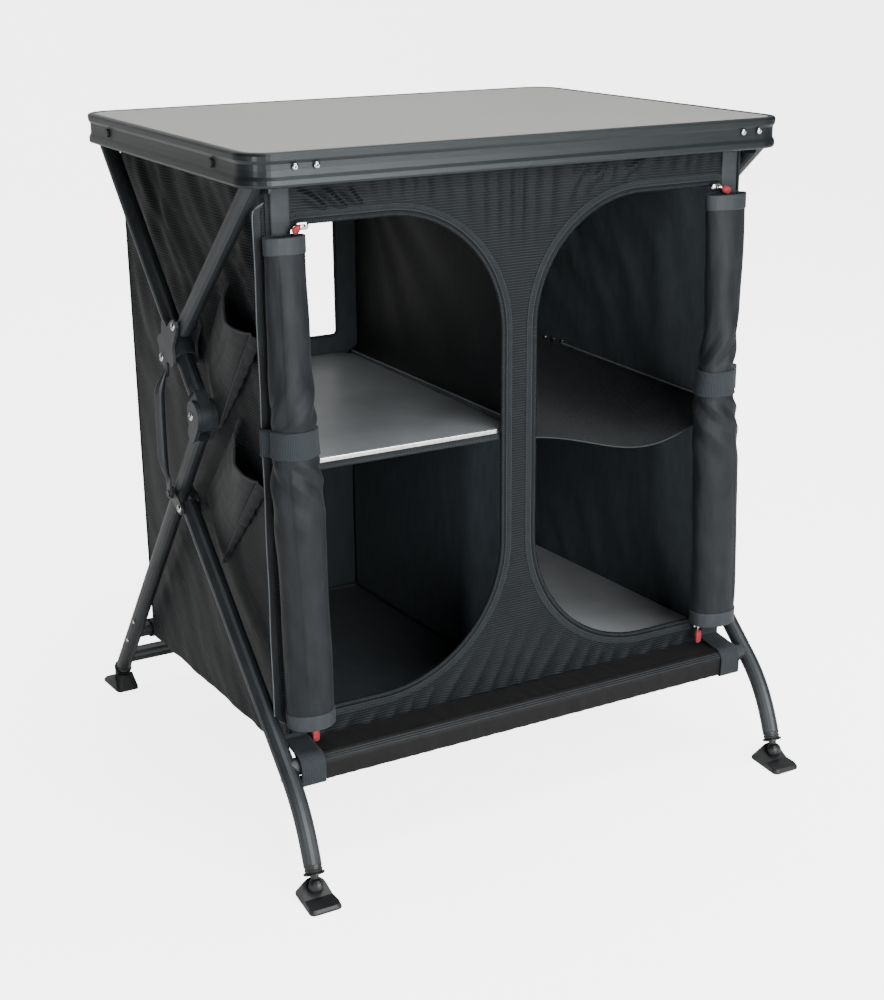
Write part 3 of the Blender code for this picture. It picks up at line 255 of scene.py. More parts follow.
# %% A hard finish in two tones
def hard_finish(name, tones, span, patch, grain, relief, scatter=0.55, stretch=(1, 1, 1), **values):
    """Two tones in patches of one size, and the fine grain that the making left.

    Patch and grain each hold their size in metres and the noise's detail. The tones change as the noise goes
    through the span. Relief holds the grain's height in metres and its strength.
    """
    made, tree, place, shader = material(name, **values)
    place = add(tree, "Mapping", {"Vector": place, "Scale": stretch})
    cloud, fine = (add(tree, "TexNoise", {"Vector": place, "Scale": 1 / size, "Detail": detail,
                                          "Roughness": scatter}) for size, detail in (patch, grain))
    tint(tree, cloud, *tones, *span, to=shader["Base Color"])
    add(tree, "Bump", {"Height": fine, "Distance": relief[0], "Strength": relief[1]}, shader["Normal"])
    return made


EVEN = (0.35, 0.65)  # the middle of a noise's values

# %% Powder-coated steel tube
# Orange peel spreads the highlight, and the coat's clouds keep a long tube from looking flat.
POWDER_GRAIN = 0.0012  # real grain is 0.5 mm, drawn coarser so that it shows
tube_paint = hard_finish("powder_coated_steel", ("#1A1E21", "#22272A"), EVEN, (0.035, 4.0),
                         (POWDER_GRAIN, 2.0), (0.00004, 0.6), Roughness=0.46, Metallic=0.15,
                         Coat_Weight=0.10, Coat_Roughness=0.40)

# %% Anodised aluminium rail
# Brushed before the dye: level lines that draw the highlight out along the rail.
BRUSH_LINE = 0.030  # 0.5 mm across, as the pattern is pressed together 60 times upwards
rail_metal = hard_finish("anodised_aluminium", ("#1F2325", "#2B3032"), (0.30, 0.70), (BRUSH_LINE, 4.0),
                         (BRUSH_LINE, 4.0), (0.00003, 0.5), 0.7, (1, 1, 60), Roughness=0.34, Metallic=0.55)

# %% Melamine laminate top
# Printed paper pressed under resin: a fine speckle, and a weak clear gloss over it.
top_laminate, tree, place, shader = material("melamine_laminate", Roughness=0.42, Coat_Weight=0.15,
                                             Coat_Roughness=0.35)
speckle, broad = (add(tree, "TexNoise", {"Vector": place, "Scale": 1 / size, "Detail": 2.0,
                                         "Roughness": scatter}) for size, scatter in ((0.0016, 0.8), (0.22, 0.55)))
both = add(tree, "Math", {0: broad, 1: 0.25, 2: speckle}, operation="MULTIPLY_ADD")
tint(tree, both, "#868682", "#9C9C98", 0.40, 0.90, to=shader["Base Color"])
add(tree, "Bump", {"Height": speckle, "Distance": 0.00003, "Strength": 0.5}, shader["Normal"])

# %% Glass-filled nylon mouldings
# The mould's grain is about 0.5 mm, drawn as 1 mm so that it shows.
# The hubs' and elbows' copy is painted lighter and the feet's darker: painted light for hubs in shade, painted
# shade for feet lit from above.
nylon, foot_nylon_painted_shade = (
    hard_finish(name, tones, EVEN, (0.020, 3.0), (0.0010, 2.0), (0.00006, 0.6), Roughness=0.46)
    for name, tones in (("moulded_nylon_painted_light", ("#202427", "#2B3033")), ("moulded_foot_nylon", ("#0F1112", "#16181A"))))

# %% Bright steel, dark pins and the boards
# Polished steel gives small sharp lights, and blackened pins hardly any. The boards are a moulded plastic
# sheet: satin, with a faint haze.
bright_steel = hard_finish("polished_steel", ("#B9BABA", "#D8D8D6"), EVEN, (0.004, 3.0), (0.004, 3.0),
                           (0.00003, 0.4), Roughness=0.22, Metallic=1.0)
dark_pin = hard_finish("blackened_steel_pin", ("#1E2021", "#3A3C3D"), EVEN, (0.002, 3.0), (0.002, 3.0),
                       (0.0, 0.0), Roughness=0.45, Metallic=0.8)
# The floor board's sheet is the shelf's painted lighter: painted light for the cabinet's shaded floor.
shelf_sheet, floor_sheet_painted_light = (
    hard_finish(name, tones, EVEN, (0.09, 3.0), (0.006, 3.0), (0.00005, 0.4), Roughness=0.38, Coat_Weight=0.10,
                Coat_Roughness=0.25)
    for name, tones in (("grey_shelf_sheet", ("#727578", "#7F8386")), ("grey_floor_sheet", ("#94979A", "#A5A8AB"))))

# %% Red woven nylon
# Its slanting ribs, 1.4 mm apart, keep the light soft.
red_nylon, tree, place, shader = material("red_woven_nylon", Roughness=0.55, Sheen_Weight=0.3)
axes = add(tree, "SeparateXYZ", {"Vector": place}).node.outputs
weave = wave(tree, add(tree, "Math", {0: axes["X"], 1: axes["Z"]}, operation="ADD"), 0.0014)
tint(tree, weave, "#6E0412", "#B20620", to=shader["Base Color"])
add(tree, "Bump", {"Height": weave, "Distance": 0.0002, "Strength": 0.7}, shader["Normal"])

# %% [markdown]
# ### Cloth finishes
# The cabinet is a coated mesh: thick weft threads lie 3 mm apart in level rows, and fine warp threads cross
# them. The doors and pockets are a smooth coated polyester, and the straps a ribbed webbing. All of them
# read the piece's own UV map, which is in metres, so that each thread has its real spacing.

# %% Coated mesh cloth
ROW_PITCH = 0.0030
COLUMN_PITCH = 0.0016


def thread_finish(tree, place, shader, thread, patch, detail, gain, tones, depth, strength):
    """Raised threads that are lighter than the ground, more so in some patches of this size than in others."""
    patches = add(tree, "TexNoise", {"Vector": place, "Scale": 1 / patch, "Detail": detail, "Roughness": 0.55})
    share = add(tree, "Math", {0: patches, 1: gain, 2: 0.5}, operation="MULTIPLY_ADD")
    lit = add(tree, "Math", {0: thread, 1: share}, operation="MULTIPLY")
    tint(tree, lit, *tones, to=shader["Base Color"])
    add(tree, "Bump", {"Height": thread, "Distance": depth, "Strength": strength}, shader["Normal"])


# Rows and columns of thread: the height is the row's wave to the power 2.6, cut by the column's wave.
cabinet_cloth, tree, place, shader = material("coated_mesh_cloth", "UV", Roughness=0.50, Sheen_Weight=0.04,
                                              Sheen_Roughness=0.4, Specular_IOR_Level=0.12)
wobble = add(tree, "TexNoise", {"Vector": place, "Scale": 1 / 0.05, "Detail": 2.0, "Roughness": 0.55})
axes = add(tree, "SeparateXYZ", {"Vector": place}).node.outputs
shifted = add(tree, "Math", {0: wobble, 1: 0.0006, 2: axes["Y"]}, operation="MULTIPLY_ADD")
ridge = add(tree, "Math", {0: wave(tree, shifted, ROW_PITCH), 1: 2.6}, operation="POWER")
cut = add(tree, "Math", {0: wave(tree, axes["X"], COLUMN_PITCH), 1: 0.6, 2: 0.4}, operation="MULTIPLY_ADD")
thread = add(tree, "Math", {0: ridge, 1: cut}, operation="MULTIPLY")
thread_finish(tree, place, shader, thread, 0.03, 3.0, 0.9, ("#0A0C0D", "#2C3135"), 0.0004, 0.8)

# %% Smooth coated polyester
def polyester(name, low, high, roughness, inside=None, creased=0.0016):
    """Faint level ribs, and soft creases from noise drawn out along the cloth's length. The same noise
    paints shade into the colour: lighter where a crease rises, darker where it sinks.

    Inside holds an axis, a middle and a half width of the object's own space, where the cloth has two other
    colours: paler ones, painted light for a part that lies in shade.
    """
    made, tree, place, shader = material(name, "UV", Roughness=roughness, Sheen_Weight=0.06,
                                         Sheen_Roughness=0.35, Specular_IOR_Level=0.16)
    rib = wave(tree, add(tree, "SeparateXYZ", {"Vector": place}, result="Y"), 0.0028)
    drawn = add(tree, "Mapping", {"Vector": place, "Rotation": (0, 0, 0.6), "Scale": (1, 0.35, 1)})
    crease = add(tree, "TexNoise", {"Vector": drawn, "Scale": 1 / 0.012, "Detail": 3.0, "Roughness": 0.5})
    # The crease noise in the colour is painted shade: lighter on the ridges, darker in the hollows.
    shade = add(tree, "Math", {0: rib, 1: 0.14, 2: crease}, operation="MULTIPLY_ADD")
    colour = tint(tree, shade, low, high, 0.30, 1.0)
    if inside:
        axis, middle, half, inner_low, inner_high = inside
        along = add(tree, "SeparateXYZ", {"Vector": add(tree, "TexCoord", result="Object")}, result=axis)
        within = add(tree, "Math", {0: along, 1: middle, 2: half}, operation="COMPARE")
        # A paler copy of the colours within the span: painted light for a part in shade.
        painted_lighter = tint(tree, shade, inner_low, inner_high, 0.30, 1.0)
        both = {"Factor": within, "A": colour, "B": painted_lighter}
        colour = add(tree, "Mix", both, result="Result", data_type="RGBA")
    tree.links.new(colour, shader["Base Color"])
    raised = add(tree, "Bump", {"Height": crease, "Distance": creased, "Strength": 0.5})
    ribbed = {"Height": rib, "Distance": 0.00005, "Strength": 0.5, "Normal": raised}
    add(tree, "Bump", ribbed, shader["Normal"])
    return made


# Below the shelf the divider's lining is painted paler: painted light where the shelf's shade falls.
PAINTED_LIGHT_UNDER_SHELF = ("Z", 0.22, 0.225, "#3C4247", "#485056")
door_cloth = polyester("coated_polyester", "#15171A", "#24272A", 0.52)
hem_cloth = polyester("hem_polyester", "#2A2E31", "#383D40", 0.50)
# The linings are painted paler than the outer cloth: painted light for the shaded inside of the cabinet.
rear_lining_painted_pale = polyester("rear_cloth_lining_painted_pale", "#2B3033", "#33393C", 0.60, creased=0.0006)
lining_painted_pale = polyester("smooth_cloth_lining_painted_pale", "#474D52", "#545B60", 0.60, creased=0.0006)
divider_lining_painted_light = polyester("divider_cloth_lining", "#0F1214", "#15181A", 0.60, PAINTED_LIGHT_UNDER_SHELF, 0.0004)

# %% Ribbed webbing
WEBBING_RIB = 0.0018


def webbing(name, low, high, seams=()):
    """Ribs across the tape, and light lines of stitches where the UV map's width says so."""
    made, tree, place, shader = material(name, "UV", Roughness=0.66, Sheen_Weight=0.04, Sheen_Roughness=0.5,
                                         Specular_IOR_Level=0.14)
    axes = add(tree, "SeparateXYZ", {"Vector": place}).node.outputs
    along = wave(tree, axes["Y"], WEBBING_RIB * 1.3)
    along = add(tree, "Math", {0: along, 1: 0.5, 2: 0.5}, operation="MULTIPLY_ADD")
    woven = add(tree, "Math", {0: wave(tree, axes["X"], WEBBING_RIB), 1: along}, operation="MULTIPLY")
    patches = add(tree, "TexNoise", {"Vector": place, "Scale": 1 / 0.012, "Detail": 3.0, "Roughness": 0.55})
    shade = add(tree, "Math", {0: patches, 1: 0.4, 2: woven}, operation="MULTIPLY_ADD")
    for seam in seams:
        stitches = add(tree, "Math", {0: axes["Y"], 1: seam, 2: 0.0005}, operation="COMPARE")
        shade = add(tree, "Math", {0: shade, 1: stitches}, operation="MAXIMUM")
    tint(tree, shade, low, high, 0.1, 1.2, to=shader["Base Color"])
    add(tree, "Bump", {"Height": woven, "Distance": 0.0004, "Strength": 0.8}, shader["Normal"])
    return made


strap_webbing = webbing("ribbed_webbing", "#1D2124", "#33393D")
# A lighter copy of the seam thread: painted light for edges that lie in shade.
thread_painted_light = webbing("seam_thread_painted_light", "#7E8589", "#A9AFB2")
tape_webbing = webbing("edge_tape", "#0B0D0E", "#2E3336", (0.0020, 0.0088))
seam_thread = webbing("light_seam_thread", "#3C4246", "#70777B")

# %% [markdown]
# ## The front of the cabinet
# The front is one piece of mesh cloth with two tall doorways. Each doorway is straight at its outer side and
# sweeps round at its inner one. Seen from the middle of a doorway, its edge and the panel's edge each lie at
# one distance in each direction, so a grid whose rows run between the two fills the cloth between them.

# %% The doorways' outlines
DOOR_INNER = 0.0220
DOOR_OUTER = SIDE_FACE - 0.024
DOOR_TOP = 0.704
DOOR_BOTTOM = 0.170
DOOR_TOP_RADIUS = 0.137
DOOR_BOTTOM_RADIUS = 0.155
DOOR_CORNER = 0.010
SIDES = ((-1, "left"), (1, "right"))


def arc(centre, radius, start, end, steps):
    """Points centre + radius (cos a, sin a), with a running from start to end in degrees."""
    a = np.radians(np.linspace(start, end, steps))[:, None]
    return np.array(centre) + radius * np.hstack([np.cos(a), np.sin(a)])


def doorway(side):
    """The doorway's edge as a dense closed line of (x, z): four arcs joined by straight lines."""
    top = (DOOR_INNER + DOOR_TOP_RADIUS, DOOR_TOP - DOOR_TOP_RADIUS)
    low = (DOOR_INNER + DOOR_BOTTOM_RADIUS, DOOR_BOTTOM + DOOR_BOTTOM_RADIUS)
    line = np.vstack([
        arc(top, DOOR_TOP_RADIUS, 180, 90, 40),
        arc((DOOR_OUTER - DOOR_CORNER, DOOR_TOP - DOOR_CORNER), DOOR_CORNER, 90, 0, 10),
        arc((DOOR_OUTER - DOOR_CORNER, DOOR_BOTTOM + DOOR_CORNER), DOOR_CORNER, 0, -90, 10),
        arc(low, DOOR_BOTTOM_RADIUS, 270, 180, 40),
    ])
    line[:, 0] *= side
    return line if side > 0 else line[::-1]


def resample(line, count, closed=True):
    """The same line at this many even steps of its length, and the distance along it at each."""
    if closed:
        line = np.vstack([line, line[:1]])
    run = np.concatenate([[0], np.cumsum(np.linalg.norm(np.diff(line, axis=0), axis=1))])
    at = np.linspace(0, run[-1], count + 1 if closed else count)
    return np.stack([np.interp(at, run, line[:, k]) for k in range(line.shape[1])], axis=1), at


def reach_of(line, centre, angles):
    """How far a closed line lies from the centre at each angle."""
    dense, _ = resample(line, 4000)
    offset = dense - centre
    turn = np.arctan2(offset[:, 1], offset[:, 0])
    order = np.argsort(turn)
    return np.interp(angles, turn[order], np.linalg.norm(offset, axis=1)[order], period=2 * np.pi)


print("a doorway's edge is", round(resample(doorway(1), 400)[1][-1], 3), "m round")

# %% The front's folds
FOLD_PITCH = 0.0195
FOLD_DEPTH = 0.0024
CREASES = [((-0.2600, 0.7400), (-0.2230, 0.7160), 0.0046), ((-0.2360, 0.7410), (-0.1990, 0.7110), 0.0052),
           ((-0.2060, 0.7380), (-0.1860, 0.7150), 0.0036), ((0.0880, 0.7440), (0.0660, 0.7080), 0.0028),
           ((0.1200, 0.7440), (0.0900, 0.7140), 0.0030), ((0.1670, 0.7430), (0.1300, 0.7180), 0.0028)]


def crease(x, z, start, end, height):
    """A ridge beside a groove, from start to end.

    With a the distance aside over 5 mm, it stands height 2.3 a exp(-a^2), and it tapers as 4 u (1 - u).
    """
    way = np.array(end) - np.array(start)
    length = np.linalg.norm(way)
    along = ((x - start[0]) * way[0] + (z - start[1]) * way[1]) / length
    aside = ((x - start[0]) * way[1] - (z - start[1]) * way[0]) / length / 0.005
    u = np.clip(along / length, 0, 1)
    return height * (0.6 + 2.3 * aside) * np.exp(-(aside ** 2)) * 4 * u * (1 - u)


def front_relief(x, z, distance):
    """How far the front cloth stands out: a wave across the cloth, strong at its top and its bottom edges.

    The wave is (1 + sin(2 pi x' / pitch + a slow sine)) / 2 to the power 1.5, where x' leans outwards as the
    cloth comes down. It fades within 30 mm of a doorway, where the edge tape holds the cloth flat, and small
    gathers as wide as a stitch run stand along the tape.
    """
    drop = CLOTH_TOP - z
    leaned = x * (1 + 0.9 * drop)
    crowd = 1.6 * np.sin(2 * np.pi * x / 0.13 + 0.6)
    upper = (0.5 + 0.5 * np.sin(2 * np.pi * leaned / FOLD_PITCH + crowd)) ** 1.5
    low_lean = x - 0.55 * (z - FRONT_BOTTOM)
    lower = (0.5 + 0.5 * np.sin(2 * np.pi * low_lean / 0.0255 + 0.8 * crowd)) ** 3
    top_share = smooth((z - 0.640) / 0.09) * (1 - 0.45 * np.sin(2 * np.pi * x / 0.075) ** 2)
    low_share = smooth((0.235 - z) / 0.08)
    middle = 0.10 * np.sin(2 * np.pi * z / 0.16 + 9 * x) ** 2
    held = smooth((distance - 0.012) / 0.022) * smooth((0.270 - np.abs(x)) / 0.008)
    stitched = 0.5 + 0.5 * np.sin(2 * np.pi * (x + z) / 0.013)
    pucker = 0.0006 * np.exp(-((distance - 0.014) / 0.006) ** 2) * stitched
    drawn = sum(crease(x, z, *line) for line in CREASES) * smooth((distance - 0.010) / 0.006)
    return FOLD_DEPTH * held * (upper * top_share + lower * low_share + middle) + pucker + drawn


print("folds", round(FOLD_PITCH * 1000, 1), "mm apart, and", len(CREASES), "creases")

# %% The front cloth
def panel_round(low, high, line, relief, face_y, rows=32, columns=560):
    """Half a panel round a hole: row 0 is the hole's edge and the last row is the panel's.

    A point is centre + ((1 - t) r + t R) (cos a, sin a), where r and R are the hole's and the panel's
    distances at angle a. The panel's four corners take the place of the nearest angles.
    """
    centre = (line.max(axis=0) + line.min(axis=0)) / 2
    angles = np.linspace(-np.pi, np.pi, columns + 1)[:-1]
    corners = np.array([(low[0], low[1]), (high[0], low[1]), (high[0], high[1]), (low[0], high[1])]) - centre
    for turn in np.arctan2(corners[:, 1], corners[:, 0]):
        angles[np.abs(angles - turn).argmin()] = turn
    way = np.stack([np.cos(angles), np.sin(angles)], axis=1)
    edge = np.where(way > 0, np.array(high) - centre, np.array(low) - centre)
    outer = np.abs(edge / np.where(np.abs(way) < 1e-9, 1e-9, way)).min(axis=1)
    inner = reach_of(line, centre, angles)
    t = np.linspace(0, 1, rows)[:, None]
    reach = inner + t * (outer - inner)
    x, z = (centre[k] + reach * way[:, k] for k in (0, 1))
    points = np.stack([x, face_y - relief(x, z, reach - inner), z], axis=-1)
    return np.concatenate([points, points[:, :1]], axis=1)


def joined(name, halves, finish, outward, thickness):
    """Two halves of a panel made one: their points on the shared edge are merged."""
    shape = bmesh.new()
    for half in halves:
        part = surface(f"{name}_half", half, (half[..., 0], half[..., 2]), finish, outward, ring=True)
        shape.from_mesh(part.data)
        bpy.data.objects.remove(part, do_unlink=True)
    bmesh.ops.remove_doubles(shape, verts=shape.verts, dist=0.0004)
    mesh = bpy.data.meshes.new(name)
    shape.to_mesh(mesh)
    shape.free()
    return thicken(piece(name, mesh, finish), thickness, inner=lining_painted_pale)


edges = {side: doorway(side) for side, _ in SIDES}
halves = [panel_round((min(0, side * CLOTH_HALF), FRONT_BOTTOM), (max(0, side * CLOTH_HALF), CLOTH_TOP),
                      edges[side], front_relief, PANEL_FACE) for side, _ in SIDES]
front_cloth = joined("front_cloth", halves, cabinet_cloth, (0, -1, 0), CLOTH)
hang(front_cloth, "front_panel")

# %% [markdown]
# ### Edge tape and zip
# A woven tape is sewn over each doorway's raw edge, and the zip that closes the rolled door runs inside it.
# Both follow the doorway's edge: at each step along it, a short section is laid out along the edge's normal.

# %% Tape along an edge
def normals_of(line):
    """At each point of a closed line, the unit vector that points out of it: its tangent turned by a quarter."""
    tangent = unit(np.roll(line, -1, axis=0) - np.roll(line, 1, axis=0))
    out = np.stack([tangent[:, 1], -tangent[:, 0]], axis=1)
    return out if ((line - line.mean(axis=0)) * out).sum() > 0 else -out


def edge_band(name, line, section, finish, face_y, count=420):
    """A closed band along a line. Section holds (distance out from the edge, height over the panel).

    Each normal is the mean of five neighbours, so that the band goes round a corner without a fold.
    """
    dense, run = resample(line, count)
    dense = dense[:-1]
    out = normals_of(dense)
    out = unit(sum(np.roll(out, k, axis=0) for k in (-2, -1, 0, 1, 2)) / 5)
    section = np.array(section)
    flat = dense[None] + section[:, 0][:, None, None] * out[None]
    flat = np.concatenate([flat, flat[:, :1]], axis=1)
    y = face_y - np.broadcast_to(section[:, 1][:, None], flat.shape[:2])
    points = np.stack([flat[..., 0], y, flat[..., 1]], axis=-1)
    across = np.concatenate([[0], np.cumsum(np.linalg.norm(np.diff(section, axis=0), axis=1))])
    return surface(name, points, (run[None, :], across[:, None]), finish, (0, -1, 0), ring=True)


TAPE_SECTION = [(0.0126, -0.0006), (0.0128, 0.0007), (0.0120, 0.0012), (0.0102, 0.0014), (0.0086, 0.0013),
                (0.0080, 0.0007), (0.0074, 0.0007), (0.0068, 0.0012), (0.0052, 0.0013)]
ZIP_SECTION = [(0.0056, 0.0008), (0.0046, 0.0014), (0.0034, 0.0017), (0.0022, 0.0019), (0.0010, 0.0018),
               (0.0000, 0.0014), (-0.0010, 0.0008), (-0.0010, -0.0010)]

# The coil lies 4.5 mm from the band's edge, and its teeth are 2.6 mm apart.
zip_tape, tree, place, shader = material("zip_tape_and_coil", "UV", Roughness=0.60, Specular_IOR_Level=0.12)
axes = add(tree, "SeparateXYZ", {"Vector": place}).node.outputs
on_coil = add(tree, "Math", {0: axes["Y"], 1: 0.0045, 2: 0.0012}, operation="COMPARE")
teeth = add(tree, "Math", {0: wave(tree, axes["X"], 0.0026), 1: on_coil}, operation="MULTIPLY")
patches = add(tree, "TexNoise", {"Vector": place, "Scale": 1 / 0.01, "Detail": 3.0, "Roughness": 0.55})
faint = add(tree, "Math", {0: patches, 1: 0.3}, operation="MULTIPLY")
lit = add(tree, "Math", {0: teeth, 1: 0.7, 2: faint}, operation="MULTIPLY_ADD")
tint(tree, lit, "#08090A", "#2C3134", to=shader["Base Color"])
add(tree, "Bump", {"Height": teeth, "Distance": 0.0005, "Strength": 0.9}, shader["Normal"])

for side, word in SIDES:
    tape = edge_band(f"doorway_tape_{word}", edges[side], TAPE_SECTION, tape_webbing, PANEL_FACE)
    hang(thicken(tape, 0.0006))
    zipper = edge_band(f"doorway_zip_{word}", edges[side], ZIP_SECTION, zip_tape, PANEL_FACE)
    hang(thicken(zipper, 0.0008))
    print(tape.name, "and", zipper.name, len(tape.data.polygons), "faces each")

# %% [markdown]
# ## Sides, back and divider
# The sides hang from the table and are pulled towards the floor tubes, so that they carry long slanting folds
# from the upper rear to the lower front. Their folds run inwards only, since the legs' joints pass a few
# millimetres outside them. The back has a window on the left, and bright air shows through it.

# %% Side cloths
SIDE_LOW_FRONT = 0.1240
SIDE_LOW_REAR = side_box[0].z


def side_relief(y, z):
    """How far a side falls inwards: two slanting waves, strong in the upper half and in the lower front."""
    slant = 0.74 * (y + 0.03) - 0.67 * z
    long_wave = 0.5 + 0.5 * np.sin(2 * np.pi * slant / 0.074 + 1.4 * np.sin(2 * np.pi * (y + z) / 0.26))
    fine_wave = 0.5 + 0.5 * np.sin(2 * np.pi * slant / 0.031 + 2.0 * np.sin(2 * np.pi * z / 0.19))
    top = smooth((z - 0.42) / 0.22)
    low = smooth((0.36 - z) / 0.18)
    held = smooth((np.abs(np.abs(y) - 0.215)) / 0.035) * smooth((CLOTH_TOP - z) / 0.04)
    long_folds = 0.0034 * long_wave * (0.25 + 0.85 * top + 0.25 * low)
    return held * (long_folds + 0.0011 * fine_wave * (top + 0.5 * low))


def side_cloth(side, word):
    """x = side (face - relief); y and z run over the side's outline, which drops towards the rear."""
    s, t = grid(150, 190)
    y = FRONT_FACE + s * (REAR_FACE - FRONT_FACE)
    low = SIDE_LOW_FRONT + s * (SIDE_LOW_REAR - SIDE_LOW_FRONT)
    z = low + t * (CLOTH_TOP - low)
    x = side * (SIDE_FACE - side_relief(y, z))
    made = surface(f"side_cloth_{word}", np.stack([x, y, z], axis=-1), (y, z), cabinet_cloth, (side, 0, 0))
    hang(thicken(made, CLOTH, inner=lining_painted_pale), f"side_panel_{word}")
    return made


for side, word in SIDES:
    print(side_cloth(side, word).name, "hung")

# %% Rear cloth and its window
WINDOW = ((-0.262, 0.4804), (-0.0200, 0.6995))
WINDOW_CORNER = 0.004
BINDING_SECTION = [(0.0046, 0.0001), (0.0042, 0.0008), (0.0022, 0.0011), (0.0004, 0.0008), (0.0, 0.0001)]


def rear_relief(x, z, distance):
    """The back stands out in shallow waves that lean, and is held flat round its window."""
    slow = 0.5 + 0.5 * np.sin(2 * np.pi * (x + 0.2 * z) / 0.085 + 1.2 * np.sin(2 * np.pi * z / 0.31))
    return -0.0016 * slow * smooth((distance - 0.012) / 0.03)


(x0, z0), (x1, z1) = WINDOW
window_line = np.vstack([
    arc((x1 - WINDOW_CORNER, z1 - WINDOW_CORNER), WINDOW_CORNER, 90, 0, 10),
    arc((x1 - WINDOW_CORNER, z0 + WINDOW_CORNER), WINDOW_CORNER, 0, -90, 10),
    arc((x0 + WINDOW_CORNER, z0 + WINDOW_CORNER), WINDOW_CORNER, 270, 180, 10),
    arc((x0 + WINDOW_CORNER, z1 - WINDOW_CORNER), WINDOW_CORNER, 180, 90, 10),
])
rear_points = panel_round((-CLOTH_HALF, REAR_BOTTOM), (CLOTH_HALF, CLOTH_TOP), window_line, rear_relief,
                          REAR_FACE - 0.0022, rows=60, columns=480)
rear_cloth = surface("rear_cloth", rear_points, (rear_points[..., 0], rear_points[..., 2]), cabinet_cloth,
                     (0, 1, 0), ring=True)
hang(thicken(rear_cloth, CLOTH, inner=rear_lining_painted_pale), "rear_panel")
for word, face, turn in (("outer", REAR_FACE - 0.0016, -1), ("inner", REAR_FACE - 0.0026, 1)):
    section = [(d, turn * h) for d, h in BINDING_SECTION]
    hang(edge_band(f"window_tape_{word}", window_line, section, tape_webbing, face, 260))
print("rear cloth:", len(rear_cloth.data.vertices), "points")

# %% Divider between the compartments
divider_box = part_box("divider")
s, t = grid(60, 90)
y = divider_box[0].y + s * (divider_box[1].y - divider_box[0].y)
low = FRONT_BOTTOM + s * (REAR_BOTTOM - FRONT_BOTTOM)
z = low + t * (CLOTH_TOP - low)
from_corner = np.stack([y - 0.215, z - 0.735])
fan = np.arctan2(from_corner[1], from_corner[0])
held = np.sin(np.pi * s) ** 0.5 * smooth((np.abs(z - 0.447) - 0.012) / 0.05) * smooth((CLOTH_TOP - z) / 0.05)
x = 0.0005 + 0.0030 * held * np.sin(19 * fan + 0.6) * np.exp(-np.hypot(*from_corner) / 0.35)
# Above the shelf it is sewn further right.
x = x + 0.0120 * smooth((s - 0.25) / 0.75) * smooth((z - 0.455) / 0.008)
divider_cloth = surface("divider_cloth", np.stack([x, y, z], axis=-1), (y, z), divider_lining_painted_light, (1, 0, 0))
hang(thicken(divider_cloth, CLOTH), "divider")
print("divider:", round(float(x.max() - x.min()) * 1000, 1), "mm out of its plane")

# %% [markdown]
# ## Floor, sleeves and shelves
# The floor is one length of cloth. It turns round the front and the rear floor tube as a sleeve and comes back
# underneath, so that it is a line in the side view that is carried across the cabinet's width.

# %% Floor cloth carried along its side line
front_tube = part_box("front_cross_tube")
rear_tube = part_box("rear_floor_tube")
FRONT_TUBE = ((front_tube[0].y + front_tube[1].y) / 2, (front_tube[0].z + front_tube[1].z) / 2)
REAR_TUBE = ((rear_tube[0].y + rear_tube[1].y) / 2, (rear_tube[0].z + rear_tube[1].z) / 2)
SLEEVE = TUBE_RADIUS + 0.0023
STITCHES = []


def carried(name, line, x_low, x_high, finish, outward, columns=160, relief=None):
    """A line of (y, z) carried along x. Relief moves each point along the line's normal, by (run, x) in metres."""
    run = np.concatenate([[0], np.cumsum(np.linalg.norm(np.diff(line, axis=0), axis=1))])
    tangent = unit(np.gradient(line, axis=0))
    normal = np.stack([-tangent[:, 1], tangent[:, 0]], axis=1)
    x = np.linspace(x_low, x_high, columns)[None, :]
    move = relief(run[:, None], x) if relief else np.zeros((len(line), columns))
    y = line[:, 0][:, None] + move * normal[:, 0][:, None]
    z = line[:, 1][:, None] + move * normal[:, 1][:, None]
    points = np.stack([np.broadcast_to(x, y.shape), y, z], axis=-1)
    return surface(name, points, (x, run[:, None]), finish, outward), run[-1]


HEM_EDGE = 0.1085
floor_line = np.vstack([
    [(FRONT_TUBE[0] + 0.030, FRONT_TUBE[1] + 0.0060), (FRONT_TUBE[0] + 0.004, FRONT_TUBE[1] - SLEEVE - 0.001),
     (FRONT_TUBE[0] - 0.008, HEM_EDGE + 0.0010), (FRONT_TUBE[0] - 0.0098, HEM_EDGE),
     (FRONT_TUBE[0] - 0.0115, HEM_EDGE + 0.0008)],
    arc(FRONT_TUBE, SLEEVE, 186, 90, 20),
    arc(REAR_TUBE, SLEEVE, 90, -112, 26),
    [(REAR_TUBE[0] - 0.030, REAR_TUBE[1] + 0.0060)],
])
floor_line, _ = resample(floor_line, 480, closed=False)


def floor_relief(run, x):
    """Puckers along both sleeves, where the hem's thread draws them in, and none where the floor lies flat."""
    ends = smooth((0.085 - run) / 0.03) + smooth((run - run.max() + 0.085) / 0.03)
    return -0.00045 * ends * (0.5 + 0.5 * np.sin(2 * np.pi * x / 0.019 + 2.1 * np.sin(2 * np.pi * x / 0.083)))


# Between the tubes the floor is painted paler: painted light for the shaded inside of the cabinet.
FLOOR_PAINTED_LIGHT_INSIDE = ("Y", 0.0, 0.2115, "#292D31", "#34393D")
sleeve_cloth = polyester("dark_coated_polyester", "#0C0C0D", "#171718", 0.52, FLOOR_PAINTED_LIGHT_INSIDE)
floor_cloth, floor_run = carried("floor_cloth_sheet", floor_line, -CLOTH_HALF, CLOTH_HALF, sleeve_cloth,
                                 (0, 0, 1), 220, floor_relief)
hang(thicken(floor_cloth, 0.0009), "floor_cloth")
for turn in np.radians((128, 140, 152)):
    y, z = (FRONT_TUBE[k] + (SLEEVE + 0.0001) * way(turn) for k, way in enumerate((np.cos, np.sin)))
    STITCHES.append([(x, y, z) for x in (-0.270, 0.0, 0.270)])
print("floor cloth:", round(floor_run, 3), "m long")

